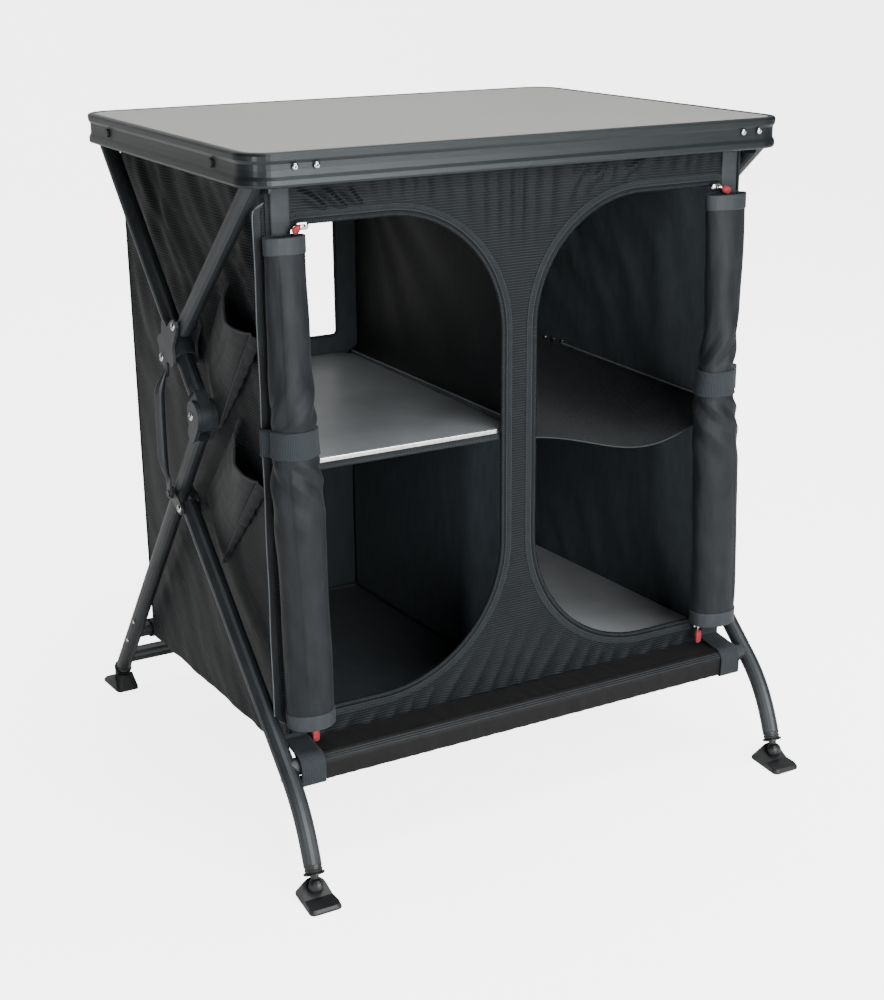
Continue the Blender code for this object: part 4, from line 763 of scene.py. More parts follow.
# %% Sling under the shelf board
sling_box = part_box("shelf_sling")
sling_top = sling_box[1].z
sling_line = np.array([(sling_box[0].y + 0.0024, sling_top - 0.0002), (sling_box[1].y, sling_top - 0.0002)])
sling_line, _ = resample(sling_line, 60, closed=False)
sling, sling_run = carried("shelf_sling_cloth", sling_line, sling_box[0].x, sling_box[1].x, lining_painted_pale,
                           (0, 0, 1), 80)
hang(thicken(sling, CLOTH), "shelf_sling")
hem_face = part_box("shelf_edge_rail")[0].y - 0.0014
hem_line = np.array([(hem_face, sling_top - 0.0036), (hem_face - 0.0002, sling_top - 0.001),
                     (hem_face, sling_top + 0.0032)])
shelf_hem, _ = carried("shelf_hem", hem_line, sling_box[0].x + 0.002, sling_box[1].x - 0.004, tape_webbing,
                       (0, -1, 0), 80)
hang(thicken(shelf_hem, CLOTH))
print("sling:", round(sling_run, 3), "m long")

# %% Knitted net
# Two waves that cross at 45 degrees leave the holes, and the thread is what stands between them.
NET_PITCH = 0.0042  # the real holes are about 2 mm apart, drawn coarser so that they show
net_cloth, tree, place, shader = material("knitted_net", "UV", Roughness=0.38, Sheen_Weight=0.05,
                                          Specular_IOR_Level=0.2)
axes = add(tree, "SeparateXYZ", {"Vector": place}).node.outputs
rising, falling = (wave(tree, add(tree, "Math", {0: axes["X"], 1: axes["Y"]}, operation=turn), NET_PITCH)
                   for turn in ("ADD", "SUBTRACT"))
hole = add(tree, "Math", {0: rising, 1: falling}, operation="MULTIPLY")
rounded = add(tree, "Math", {0: hole, 1: 0.7}, operation="POWER")
thread = add(tree, "Math", {0: 1.0, 1: rounded}, operation="SUBTRACT")
thread_finish(tree, place, shader, thread, 0.05, 2.0, 0.8, ("#0A0B0C", "#2A2E31"), 0.0006, 0.9)

# %% Net shelf
net_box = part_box("mesh_shelf")
NET_SAG = net_box[1].z - net_box[0].z + 0.003
s, t = grid(90, 90)
net_x = net_box[0].x + s * (net_box[1].x - net_box[0].x)
net_y = net_box[0].y + t * (net_box[1].y - net_box[0].y)
net_z = net_box[1].z - 0.0004 - NET_SAG * np.sin(np.pi * s ** 1.40) ** 1.3 * (1 - t) ** 0.6
net_points = np.stack([net_x, net_y, net_z], axis=-1)
net_shelf = surface("net_shelf_cloth", net_points, (net_x, net_y), net_cloth, (0, 0, 1))
hang(thicken(net_shelf, 0.0008), "mesh_shelf")
print("net shelf sags", round(NET_SAG * 1000), "mm")

# %% [markdown]
# ## Rolled doors
# Each door is rolled up to the outer side and strapped there. A roll is a loft: at each height its section is
# an oval whose radius carries the flap's edge, the waist under the strap and creases that fan out from it.
# Its ends show the cloth's spiral, and a hem of grey cloth goes round each end.

# %% The roll's formula
HEM = 0.017
SPINE_HEIGHTS = (0.162, 0.306, 0.418, 0.478, 0.533, 0.647, 0.695)
SPINE = {"left": ((0.0015, -0.0012, -0.0036, -0.0050, -0.0060, -0.0050, -0.0042),
                  (0.0264, 0.0266, 0.0274, 0.0252, 0.0228, 0.0217, 0.0217),
                  (0.0215, 0.0215, 0.0215, 0.0205, 0.0190, 0.0135, 0.0105)),
         "right": ((-0.0080, -0.0120, -0.0174, -0.0205, -0.0123, -0.0105, -0.0097),
                   (0.0290, 0.0294, 0.0288, 0.0238, 0.0200, 0.0252, 0.0270),
                   (0.0215, 0.0215, 0.0215, 0.0190, 0.0170, 0.0150, 0.0120))}
roll_boxes = {word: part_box(f"rolled_door_{word}") for _, word in SIDES}
strap_boxes = {word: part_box(f"door_strap_{word}") for _, word in SIDES}
STRAP_AT = {word: (box[0].z + box[1].z) / 2 for word, box in strap_boxes.items()}


def spine(z, word):
    """A roll's sag sideways and its two half widths at each height: the tables' values eased over 30 mm."""
    return [np.mean([np.interp(z + d, SPINE_HEIGHTS, row) for d in np.linspace(-0.015, 0.015, 7)], axis=0)
            for row in SPINE[word]]


def roll_share(angle, z, side, strap, low, high):
    """The roll's radius as a share of the oval's.

    1, less a waist exp(-(dz / 26 mm)^2) at the strap, plus V folds that fan out above and below the strap and
    fade in 90 mm, plus slanting creases, sharpened as sin |sin|^0.5, that run along the free cloth, plus a
    step at the flap's free edge.
    """
    dz = z - strap
    waist = 0.05 * np.exp(-((dz / 0.026) ** 2))
    away = np.exp(-((np.abs(dz) - 0.035) / 0.050) ** 2) * smooth((np.abs(dz) - 0.014) / 0.010)
    spread = angle + np.pi / 2 + 0.3 * side
    fan = np.sin(5.5 * spread / (1 + 9 * np.abs(dz)) + 0.9 * side + 26 * dz)
    gathers = 0.065 * away * fan * np.abs(fan) ** 0.5
    free = smooth((z - low - HEM) / 0.03) * smooth((high - HEM - z) / 0.03)
    slant = np.sin(1.6 * angle + 21 * z * side + 1.7 + 0.9 * np.sin(17 * z))
    long_creases = 0.028 * free * slant * np.abs(slant) ** 0.5 * np.sin(29 * z + 2 * angle + side)
    fine = 0.012 * free * np.sin(4 * angle - 61 * z + 2.0 * np.sin(22 * z))
    fine = fine * (0.4 + 0.6 * np.sin(13 * z + angle) ** 2)
    flap_at = side * 0.55 + 0.10 * np.sin(9 * z)
    turn = np.mod(angle + np.pi / 2 - flap_at + np.pi, 2 * np.pi) - np.pi
    flap = 0.040 * free * smooth(turn / 0.10) * smooth((2.4 - turn) / 2.4)
    return 1 - waist + gathers + long_creases + fine + flap * (1 - 0.7 * np.exp(-((dz / 0.03) ** 2)))


def roll_place(angle, z, side, word, proud=0.0):
    """Points on the roll at these angles and heights, standing proud of it by so much."""
    low, high = roll_boxes[word][0], roll_boxes[word][1]
    sag, wide, deep = spine(z, word)
    share = roll_share(angle, z, side, STRAP_AT[word], low.z, high.z)
    x = (low.x + high.x) / 2 + sag + (wide * share + proud) * np.cos(angle)
    y = high.y - 0.98 * deep + (deep * share + proud) * np.sin(angle)
    return np.stack([x, np.minimum(y, high.y + 0.0002), np.broadcast_to(z, x.shape)], axis=-1)


print("straps at", {word: round(height, 3) for word, height in STRAP_AT.items()})

# %% Rolls
ROUND = 144
SPIRAL_PITCH = 0.0042
ROLL_LIFT = {"left": 0.006, "right": 0.011}
ROLL_ENDS = {word: (roll_boxes[word][0].z + ROLL_LIFT[word], roll_boxes[word][1].z) for _, word in SIDES}


def rolled_door(side, word):
    """Rows run from the middle of the top end out to its rim, down the side, and in again below.

    On an end, the height is a wave of (radius / pitch - angle / 2 pi), which is the cloth's spiral.
    """
    low, high = ROLL_ENDS[word]
    angle = np.linspace(0, 2 * np.pi, ROUND + 1)[None, :]
    heights = np.linspace(high, low, 260)[:, None]
    body = roll_place(angle, heights, side, word)
    ends = []
    for row, inwards in ((0, -1), (-1, 1)):
        rim = body[row]
        middle = rim[:-1].mean(axis=0)
        share = np.linspace(0.02, 0.97, 26)[:, None]
        x = middle[0] + share * (rim[:, 0] - middle[0])
        y = middle[1] + share * (rim[:, 1] - middle[1])
        spiral = 0.5 + 0.5 * np.cos(2 * np.pi * (share * 0.0215 / SPIRAL_PITCH - angle / (2 * np.pi)))
        z = rim[0, 2] + inwards * (0.0006 + 0.0022 * spiral ** 2) * np.ones_like(share)
        ends.append(np.stack([x, y, z], axis=-1))
    points = np.concatenate([ends[0], body, ends[1][::-1]])
    run = np.concatenate([np.linspace(0.05, 0, 26), heights[:, 0] - high,
                          np.linspace(low - high, low - high - 0.05, 26)])
    made = surface(f"rolled_door_cloth_{word}", points, (angle * 0.024, run[:, None]), door_cloth, ring=True,
                   caps=True)
    hang(made, f"rolled_door_{word}", anchor=OUTER_ANCHOR)
    return made


# %% Hems and straps round the rolls
# The way in which each front corner's seam stands out, as (x outwards, y).
CORNER_FINS = {"left": (0.985, 0.17), "right": (0.12, 0.99)}
FIN_REACH = 0.0135
STRAP_HALF = 0.0145
LIP = 0.0006  # how far a band's rounded edge stands beyond its wall


def band_on_roll(name, side, word, bottom, top, proud, thickness, finish, rows=12):
    """A closed sleeve of cloth round the roll. Its wall goes up outside and down inside, with rounded edges."""
    angle = np.linspace(0, 2 * np.pi, ROUND + 1)[None, :]
    t = np.linspace(0, 1, rows)
    outer = roll_place(angle, (bottom + t * (top - bottom))[:, None], side, word, proud + thickness)
    inner = roll_place(angle, (top - t * (top - bottom))[:, None], side, word, proud - 0.0006)
    outer[0, :, 2] += LIP
    outer[-1, :, 2] -= LIP
    lip_top, lip_low = (roll_place(angle, np.array([[z]]), side, word, proud + 0.4 * thickness)
                        for z in (top, bottom))
    points = np.concatenate([outer, lip_top, inner, lip_low, outer[:1]])
    across = np.concatenate([[0], np.cumsum(np.linalg.norm(np.diff(points[:, 0], axis=0), axis=1))])
    made = surface(name, points, (angle * 0.0245, across[:, None]), finish, ring=True, looped=True)
    return hang(made, anchor=OUTER_ANCHOR)


def strap_tail(side, word):
    """The strap's free end, round the corner's seam to the side: a line of (x, y) carried over its width."""
    out = CORNER_FINS[word][0] * FIN_REACH
    line = np.array([(SIDE_FACE + 0.0006, -0.181), (SIDE_FACE + 0.0016 + 0.45 * out, -0.200),
                     (SIDE_FACE + 0.0018 + out, -0.2125), (SIDE_FACE + 0.0022 + out, -0.2170),
                     (SIDE_FACE + 0.0022 + 0.4 * out, -0.2235),
                     (SIDE_FACE + 0.0012 if side < 0 else 0.283, -0.232)])
    line, run = resample(line, 30, closed=False)
    k, t = np.meshgrid(np.arange(30), np.linspace(-STRAP_HALF, STRAP_HALF, 8), indexing="ij")
    points = np.stack([side * line[k, 0], line[k, 1], STRAP_AT[word] + t - 0.006 * (1 - k / 29)], axis=-1)
    tail = surface(f"roll_strap_tail_{word}", points, (run[:, None], t), strap_webbing, (side, -1, 0))
    return hang(thicken(tail, 0.0012, 1.0), anchor=OUTER_ANCHOR)


for side, word in SIDES:
    rolled_door(side, word)
    low, high = ROLL_ENDS[word]
    band_on_roll(f"roll_hem_top_{word}", side, word, high - HEM, high + 0.0004, 0.0002, 0.0009, hem_cloth)
    band_on_roll(f"roll_hem_bottom_{word}", side, word, low - 0.0004, low + HEM, 0.0002, 0.0009, hem_cloth)
    strap = band_on_roll(f"roll_strap_{word}", side, word, STRAP_AT[word] - STRAP_HALF,
                         STRAP_AT[word] + STRAP_HALF, 0.0006, 0.0016, strap_webbing, rows=16)
    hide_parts(f"door_strap_{word}")
    strap_tail(side, word)
print("rolls:", [round(STRAP_AT[word], 3) for _, word in SIDES])

# %% [markdown]
# ## Corners, strips and loops
# Flat strips of grey cloth run from the table down behind each roll, and a piped seam closes the four upright
# corners. At the two front corners the seam's allowance also stands out as a fin: mesh cloth at its root, its
# binding outside that, and a thin edge. At each end of the front floor tube a loop of webbing ties the
# cabinet's corner to the tube.

# %% Flat strips and piped corners
STRIP_MIDDLE = 0.2800
STRIP_HALF = 0.0106
FIN_ENDS = (0.160, 0.728)


def strip(name, low, high, face, finish):
    """An upright strip over a rectangle of (x, z). It swells by 0.6 mm sin(pi s)^0.3 and a slow wave."""
    s, t = grid(12, 60)
    x = low[0] + s * (high[0] - low[0])
    z = low[1] + t * (high[1] - low[1])
    y = face - (0.0008 + 0.0006 * np.sin(np.pi * s) ** 0.3 + 0.0004 * np.sin(2 * np.pi * z / 0.028))
    return thicken(surface(name, np.stack([x, y, z], axis=-1), (z, x), finish, (0, -1, 0)), 0.0010)


def corner_fin_place(side, word, share, z):
    """The seam that joins front and side stands out by 13.5 mm, less towards its ends, and waves by 0.7 mm."""
    reach = share * FIN_REACH * smooth((z - FIN_ENDS[0]) / 0.010) * smooth((FIN_ENDS[1] - z) / 0.008)
    way = CORNER_FINS[word]
    x = SIDE_FACE - 0.0004 + way[0] * reach
    y = FRONT_FACE + 0.0012 + way[1] * reach + 0.0007 * share * np.sin(2 * np.pi * z / 0.115)
    return np.stack([side * x, y, z], axis=-1)


def corner_fin(name, side, word, start, end, finish):
    """The part of a corner's seam between two shares of its width."""
    share, z = np.meshgrid(np.linspace(start, end, 6), np.linspace(*FIN_ENDS, 160), indexing="ij")
    place = corner_fin_place(side, word, share, z)
    return surface(name, place, (share * FIN_REACH, z), finish, (side, -1, 0))


def piping(name, places, radius, finish, rows, sides=12):
    """A round cord of seam tape along a line: each section is a circle square to the line."""
    line, run = resample(np.array(places, float), rows, closed=False)
    tangent = unit(np.gradient(line, axis=0))
    helper = np.where(np.abs(tangent[:, 2:3]) < 0.9, [[0.0, 0.0, 1.0]], [[1.0, 0.0, 0.0]])
    first = unit(np.cross(tangent, helper))
    second = np.cross(tangent, first)
    angle = np.linspace(0, 2 * np.pi, sides + 1)[None, :, None]
    points = line[:, None] + radius * (np.cos(angle) * first[:, None] + np.sin(angle) * second[:, None])
    return surface(name, points, (angle[..., 0] * radius, run[:, None]), finish, ring=True, caps=True)


for side, word in SIDES:
    middle = side * STRIP_MIDDLE
    hang(strip(f"front_strip_{word}", (middle - STRIP_HALF, 0.150), (middle + STRIP_HALF, CLOTH_TOP - 0.001),
               FRONT_FACE, hem_cloth))
    for part, start, end, cloth in (("mesh", 0.0, 0.38, cabinet_cloth), ("binding", 0.34, 1.0, door_cloth)):
        fin = corner_fin(f"corner_fin_{part}_{word}", side, word, start, end, cloth)
        hang(thicken(fin, 0.0010), anchor=OUTER_ANCHOR)
    rim = corner_fin_place(side, word, np.ones(90), np.linspace(*FIN_ENDS, 90))
    hang(piping(f"corner_fin_edge_{word}", rim, 0.0008, seam_thread, 150), anchor=OUTER_ANCHOR)
    x = side * (SIDE_FACE - 0.0006)
    for end, face, low in (("front", PANEL_FACE, FRONT_BOTTOM), ("rear", REAR_FACE - 0.0006, REAR_BOTTOM)):
        ends = [(x, face, low), (x, face, CLOTH_TOP)]
        hang(piping(f"corner_piping_{end}_{word}", ends, 0.0017, tape_webbing, 60))
for k, seam in enumerate(STITCHES):
    hang(piping(f"sleeve_stitch_{k + 1}", seam, 0.0005, hem_cloth, 60, sides=8))

# %% Bound edges of the net shelf, and the shelf board's edge line
hang(piping("net_front_edge", net_points[:, 0] + (0, -0.0004, 0.0002), 0.0009, hem_cloth, 120))
NET_SIDE = [(SIDE_FACE - 0.0034, -0.205, net_box[1].z + 0.001),
            (SIDE_FACE - 0.0070, -0.04, net_box[1].z + 0.003),
            (SIDE_FACE - 0.0074, 0.140, net_box[1].z + 0.005)]
# The net's side edge and the board's edge line take the thread painted lighter: painted light in the shade.
hang(piping("net_side_edge", NET_SIDE, 0.0009, thread_painted_light, 80))
FLAP_LOW = 0.4548  # the shelf board's top: a flap of lining stands on it, along the divider
s, t = grid(60, 6)
flap_top = 0.4608 - 0.0032 * s
flap = np.stack([-0.0036 + 0.0014 * t, -0.205 + 0.410 * s, FLAP_LOW + t * (flap_top - FLAP_LOW)], axis=-1)
hang(thicken(surface("shelf_side_flap", flap, (t * 0.015, s * 0.41), lining_painted_pale, (-1, 0, 0)), 0.0006))
hang(piping("shelf_side_edge", flap[:, -1] + (-0.0002, 0, 0.0003), 0.0008, thread_painted_light, 60))
print("corner seams and strips hung")

# %% Loops round the front floor tube
for side, word in SIDES:
    path = np.vstack([
        [(FRONT_FACE - 0.0012, 0.1500)],
        [(FRONT_FACE - 0.0022, 0.1440)],
        arc(FRONT_TUBE, SLEEVE + 0.0010, 78, 186, 26),
        [(FRONT_TUBE[0] - 0.0126, HEM_EDGE + 0.0004), (FRONT_TUBE[0] - 0.0100, HEM_EDGE - 0.0012)],
        [(FRONT_TUBE[0] - 0.0074, HEM_EDGE + 0.0002)],
        [(FRONT_TUBE[0] + 0.0050, FRONT_TUBE[1] - SLEEVE - 0.0024)],
    ])
    path, _ = resample(path, 120, closed=False)
    ends = (-0.3010, -0.2720) if side < 0 else (0.2650, 0.2925)
    loop, loop_run = carried(f"tube_loop_{word}", path, *ends, strap_webbing, (0, -1, 0), 14)
    hang(thicken(loop, 0.0012, 1.0))
print("loop", round(loop_run, 3), "m of webbing each")

# %% [markdown]
# ## Pockets on the left side
# Two slanted pockets hang from the front corner of their mouths. Each is a patch whose cloth stands off the
# side most at its mouth, dips there, and narrows towards its foot. The legs' tubes pass close outside, so the
# patch keeps inside a room that grows with the distance from each tube's line.

# %% Pocket cloth
HUB_PIN = np.array((-0.018, 0.5695))
ELBOW_PIN = np.array((-0.050, 0.474))
FRONT_LEG_PIN = np.array((0.003, 0.351))
FRONT_PIVOT = np.array((-0.226, 0.750))


def room_under_legs(y, z):
    """The least of: 6.4 mm, growing by 0.7 of the distance from each tube, and 4.6 mm at the elbow's plate."""
    place = np.stack([y, z], axis=-1)
    least = np.full(y.shape, 0.030)
    for start, end in ((HUB_PIN, FRONT_PIVOT), (FRONT_LEG_PIN, np.array(FRONT_TUBE))):
        way = (end - start) / np.linalg.norm(end - start)
        offset = place - start
        aside = np.abs(offset[..., 0] * way[1] - offset[..., 1] * way[0])
        least = np.minimum(least, 0.0064 + 0.7 * np.maximum(0, aside - 0.0105))
    beyond = np.linalg.norm(place - ELBOW_PIN, axis=-1) - 0.022
    return np.minimum(least, 0.0046 + 0.7 * np.maximum(0, beyond))


# The four corners of each pocket as (y, z): the mouth's front and rear, then the foot's front and rear.
POCKETS = {"upper": ((-0.187, 0.592), (-0.112, 0.633), (-0.061, 0.457), (-0.028, 0.535)),
           "lower": ((-0.187, 0.433), (-0.128, 0.487), (-0.049, 0.294), (-0.012, 0.368))}


def pocket_place(word, s, t, proud=0.0):
    """Points at a share s of the mouth's width and t of the way to the foot.

    The four corners blend as (1 - s)(1 - t), s (1 - t), (1 - s) t and s t; the mouth dips by 17 mm sin(pi s).
    The cloth stands off by 15 mm (sin(pi s)^0.6 + (1 - s)^2 / 2) (1 - t)^0.7, and creases run from the mouth's
    corners to the foot.
    """
    front, rear, low_front, low_rear = np.array(POCKETS[word])
    arch = np.sin(np.pi * s)
    way = (low_front - front) / np.linalg.norm(low_front - front)
    dip = 0.017 * arch * (1 - t)
    y, z = ((1 - s) * (1 - t) * front[k] + s * (1 - t) * rear[k] + (1 - s) * t * low_front[k]
            + s * t * low_rear[k] + dip * way[k] for k in (0, 1))
    fullness = 0.015 * (np.abs(arch) ** 0.6 + 0.5 * np.clip(1 - s, 0, 1) ** 2) * np.clip(1 - t, 0, 1) ** 0.7
    creases = 1 + 0.10 * np.sin(2 * np.pi * (s + 0.9 * t)) + 0.03 * np.sin(5 * np.pi * (s - 0.6 * t) + 1.0)
    stand = np.minimum(0.0016 + fullness * creases, room_under_legs(y, z))
    ripple = 0.0003 * np.sin(2 * np.pi * (y * 0.8 + z) / 0.023 + 3 * s)
    ripple = ripple * smooth(arch * 2) * smooth((1 - t) * 4)
    return np.stack([-(SIDE_FACE + stand + ripple + proud), y, z], axis=-1)


def pocket_gusset(word, corners, length):
    """The front wall of a pocket: from its front seam it curves in to the side, and is widest at the mouth.

    With u from the seam to the side, the stand-off falls as 1 - u^1.5 and the wall leans back by 11 mm u.
    """
    u, v = np.meshgrid(np.linspace(0, 1, 9), np.linspace(0, 0.97, 60), indexing="ij")
    seam = pocket_place(word, np.zeros_like(v), v)
    across = np.array((corners[2][1] - corners[0][1], corners[0][0] - corners[2][0])) / length
    spread = u * 0.011 * (1 - v) ** 0.5
    stand = (seam[..., 0] + SIDE_FACE) * (1 - u ** 1.5)
    seam[..., 0] = -SIDE_FACE + stand - 0.0010 * u - 0.0007 * np.sin(np.pi * u)
    seam[..., 1] += spread * across[0] + 0.0012 * u * np.sin(2 * np.pi * v * length / 0.022)
    seam[..., 2] += spread * across[1]
    return surface(f"pocket_{word}_gusset", seam, (v * length, u * 0.011), pocket_cloth, (-1, 0, 0))


pocket_cloth = polyester("pocket_polyester", "#0F1113", "#1B1E20", 0.50)
for word, corners in POCKETS.items():
    width, length = (float(np.linalg.norm(np.subtract(corners[k], corners[0]))) for k in (1, 2))
    s, t = grid(70, 110)
    points = pocket_place(word, s, t)
    bag = surface(f"pocket_{word}_cloth", points, (t * length, s * width), pocket_cloth, (-1, 0, 0))
    hang(thicken(bag, 0.0009), f"side_pocket_{word}", anchor=OUTER_ANCHOR)
    mouth = pocket_place(word, np.linspace(0, 1, 60), np.zeros(60))
    hang(piping(f"pocket_{word}_rim", mouth, 0.0013, hem_cloth, 90), anchor=OUTER_ANCHOR)
    gusset = pocket_gusset(word, corners, length)
    hang(thicken(gusset, 0.0007), anchor=OUTER_ANCHOR)
    front_seam = pocket_place(word, np.zeros(50), np.linspace(0, 0.97, 50), 0.0002)
    hang(piping(f"pocket_{word}_seam", front_seam, 0.0009, hem_cloth, 80), anchor=OUTER_ANCHOR)
    print(bag.name, "stands off", round(-1000 * (points[..., 0].min() + SIDE_FACE), 1), "mm at most")

# %% [markdown]
# ## Zip sliders and pulls
# The sliders wait at the ends of each roll. A slider is a small die-cast body with a bridge, and a red nylon
# tab hangs from it. The tab is a flat oval section carried along a short bent line.

# %% A bar along a bent line
def oval_bar(name, places, half_sizes, finish, rows=40, power=0.7, shares=None, flat_side=(1, 0, 0)):
    """A closed bar whose section is (|cos|^p, |sin|^p) of the half sizes, carried along a smooth line.

    The line is a Bezier curve through the control places. The section's broad side lies along flat_side, as
    far as that is square to the line. Shares say how the section swells and shrinks from start to end.
    """
    places = np.array(places, float)
    t = np.linspace(0, 1, rows)[:, None]
    last = len(places) - 1
    line = sum(comb(last, k) * t ** k * (1 - t) ** (last - k) * places[k] for k in range(len(places)))
    tangent = unit(np.gradient(line, axis=0))
    flat_side = np.array(flat_side, float)
    first = unit(flat_side - tangent * (tangent @ flat_side)[:, None])
    second = np.cross(tangent, first)
    angle = np.linspace(0, 2 * np.pi, 17)[None, :, None]
    u, v = (np.sign(f(angle)) * np.abs(f(angle)) ** power for f in (np.cos, np.sin))
    share = np.ones((rows, 1, 1)) if shares is None else np.interp(t, *shares)[:, :, None]
    broad, thin = half_sizes
    points = line[:, None] + share * (broad * u * first[:, None] + thin * v * second[:, None])
    return surface(name, points, (angle[..., 0] * half_sizes[0], t * 0.02), finish, ring=True, caps=True)


# %% Sliders and tabs
ROUNDED = ((0.0, 0.06, 0.2, 0.8, 0.94, 1.0), (0.35, 0.8, 1.0, 1.0, 0.8, 0.35))
FRONT = np.array((0.0, -1.0, 0.0))
PULLS = {("top", "left"): ((-0.2600, -0.2195, 0.7030), (-0.2722, -0.2250, 0.6985)),
         ("top", "right"): ((0.2610, -0.2195, 0.7025), (0.2738, -0.2250, 0.6970)),
         ("bottom", "left"): ((-0.2661, -0.2200, 0.1610), (-0.2668, -0.2275, 0.1395)),
         ("bottom", "right"): ((0.2576, -0.2200, 0.1640), (0.2556, -0.2265, 0.1420))}
for (level, word), ends in PULLS.items():
    start, end = np.array(ends)
    along = np.array((0.0, 0.0, 1.0) if level == "bottom" else (1.0 if word == "left" else -1.0, 0.0, 0.0))
    link_end = start + 0.30 * (end - start) + 0.003 * FRONT
    bars = {"slider": ([start - 0.006 * along, start + 0.0085 * along], (0.0046, 0.0026), 40, ROUNDED),
            "bridge": ([start + 0.004 * along, start + 0.003 * along + 0.0075 * FRONT,
                        start - 0.003 * along + 0.0075 * FRONT, start - 0.005 * along],
                       (0.0016, 0.0009), 24, None),
            "loop": ([start + 0.0052 * FRONT, start + 0.0062 * FRONT - 0.002 * along, link_end],
                     (0.0019, 0.0010), 20, None)}
    for bar, (places, half_sizes, rows, shares) in bars.items():
        made = oval_bar(f"zip_{bar}_{level}_{word}", places, half_sizes, bright_steel, rows, shares=shares,
                        flat_side=np.cross(along, FRONT))
        hang(made, anchor=OUTER_ANCHOR)
    tab_places = [link_end, start + 0.6 * (end - start) + 0.0050 * FRONT, end + 0.0010 * FRONT]
    tab = oval_bar(f"zip_tab_{level}_{word}", tab_places, (0.0040, 0.0021), red_nylon, shares=ROUNDED,
                   flat_side=(0.5, 0.0, 1.0) if level == "top" else (1.0, 0.0, 0.0))
    hang(tab, f"zip_pull_{level}_{word}", anchor=OUTER_ANCHOR)

# %% Studs of the net shelf
STUDS = ((0.187, 0.4435, 0.0024), (0.1672, 0.4450, 0.0034), (0.1456, 0.4462, 0.0024))  # y, z and radius
for k, (y, z, radius) in enumerate(STUDS):
    face = SIDE_FACE - CLOTH - float(side_relief(np.array(y), np.array(z)))
    ends = [(face + 0.0004, y, z), (face - 0.0028, y, z)]
    hang(oval_bar(f"net_stud_{k + 1}", ends, (radius, radius), bright_steel, power=1.0,
                  shares=((0, 0.5, 0.85, 1), (1, 1, 0.7, 0.2)), flat_side=(0, 1, 0)))
print("sliders:", len(PULLS), "with red tabs; studs:", len(STUDS))

# %% [markdown]
# ## Rivets and screws
# Bright rivets hold the linkage, and two blind rivets hold each corner of the rail. Both are turned parts:
# a profile of (radius, height) goes round the pin's axis. Each rides on the body that it holds.

# %% Turned heads
def turned(name, body, place, axis, profile, finish, around=28):
    """Points place + height * axis + radius * (cos a * first + sin a * second), closed at both ends."""
    axis = np.array(axis, float) / np.linalg.norm(axis)
    helper = np.array([0.0, 0.0, 1.0]) if abs(axis[2]) < 0.9 else np.array([1.0, 0.0, 0.0])
    first = np.cross(axis, helper)
    first /= np.linalg.norm(first)
    second = np.cross(axis, first)
    profile = np.array(profile)
    angle = np.linspace(0, 2 * np.pi, around + 1)[None, :, None]
    ring = np.cos(angle) * first + np.sin(angle) * second
    points = np.array(place) + profile[:, 1][:, None, None] * axis + profile[:, 0][:, None, None] * ring
    uv = (angle[..., 0] * 0.004, profile[:, 1][:, None])
    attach(surface(name, points, uv, finish, ring=True, caps=True), body)


def dome(radius, height, hollow):
    """A rivet's head from its underside to the dimple in its middle: (radius sin b, height cos b)."""
    b = np.radians(np.linspace(90, 25, 10))
    shell = np.stack([radius * np.sin(b), height * np.cos(b)], axis=1).tolist()
    return [(radius * 0.55, -0.0004), (radius, -0.0004), *shell, (hollow, height * 0.86),
            (hollow * 0.9, height * 0.55), (hollow * 0.12, height * 0.50)]


# %% Rivets of the linkage and the rail
CORE = [(0.0013, -0.0008), (0.0013, 0.0003), (0.0010, 0.0006), (0.0001, 0.0006)]
RAIL_CORE = [(0.0009, -0.0006), (0.0009, 0.0004), (0.0001, 0.0005)]
# Each pin's (y, z), the body that it rides on and the node whose outer face it stands on.
RIVETS = {"hub_front": (HUB_PIN, "hubs", "hub"), "hub_rear": ((0.025, 0.526), "hubs", "hub"),
          "elbow": (ELBOW_PIN, "rear_legs", "elbow_lower"),
          "link_foot": ((0.029, 0.362), "curved_links", "lower_bracket"),
          "front_leg": (FRONT_LEG_PIN, "rear_legs", "lower_bracket")}
# Each small rivet's body, its place and how far its axis leans to the rear.
SMALL_RIVETS = {"front_leg_low": ("front_legs", (0.3202, -0.2543, 0.1180), 0.49),
                "rear_leg_upper": ("rear_legs", (0.3214, 0.2174, 0.1303), 0.0),
                "rear_leg_lower": ("rear_legs", (0.3214, 0.2489, 0.0929), 0.0)}
for side, word in SIDES:
    for rivet_name, (body, (x, y, z), back) in SMALL_RIVETS.items():
        turned(f"rivet_{rivet_name}_{word}", body, (side * x, y, z), (side, back, 0),
               dome(0.0028, 0.0018, 0.0010), bright_steel, 20)
for side, word in SIDES:
    for pin_name, ((y, z), body, under) in RIVETS.items():
        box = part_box(f"{under}_{word}")
        face = max(abs(box[0].x), abs(box[1].x)) - 0.0009
        turned(f"rivet_{pin_name}_{word}", body, (side * face, y, z), (side, 0, 0),
               dome(0.0050, 0.0022, 0.0016), bright_steel)
        turned(f"rivet_core_{pin_name}_{word}", body, (side * (face + 0.0009), y, z), (side, 0, 0),
               CORE, dark_pin, 16)

rail_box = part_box("apron_rail")
SCREW_HEIGHT = 0.766
SCREWS = {"front": ((-0.279, -0.256, 0.267, 0.289), rail_box[0].y, -1),
          "rear": ((-0.289, -0.267, 0.256, 0.279), rail_box[1].y, 1)}
for end, (places, face, way) in SCREWS.items():
    for k, x in enumerate(places):
        turned(f"rail_rivet_{end}_{k + 1}", "table", (x, face - way * 0.0006, SCREW_HEIGHT), (0, way, 0),
               dome(0.0036, 0.0022, 0.0012), bright_steel)
        turned(f"rail_rivet_core_{end}_{k + 1}", "table", (x, face + way * 0.0002, SCREW_HEIGHT), (0, way, 0),
               RAIL_CORE, dark_pin, 16)
print("rivets:", 2 * len(RIVETS), "on the linkage,", 2 * len(SMALL_RIVETS), "small ones and 8 on the rail")
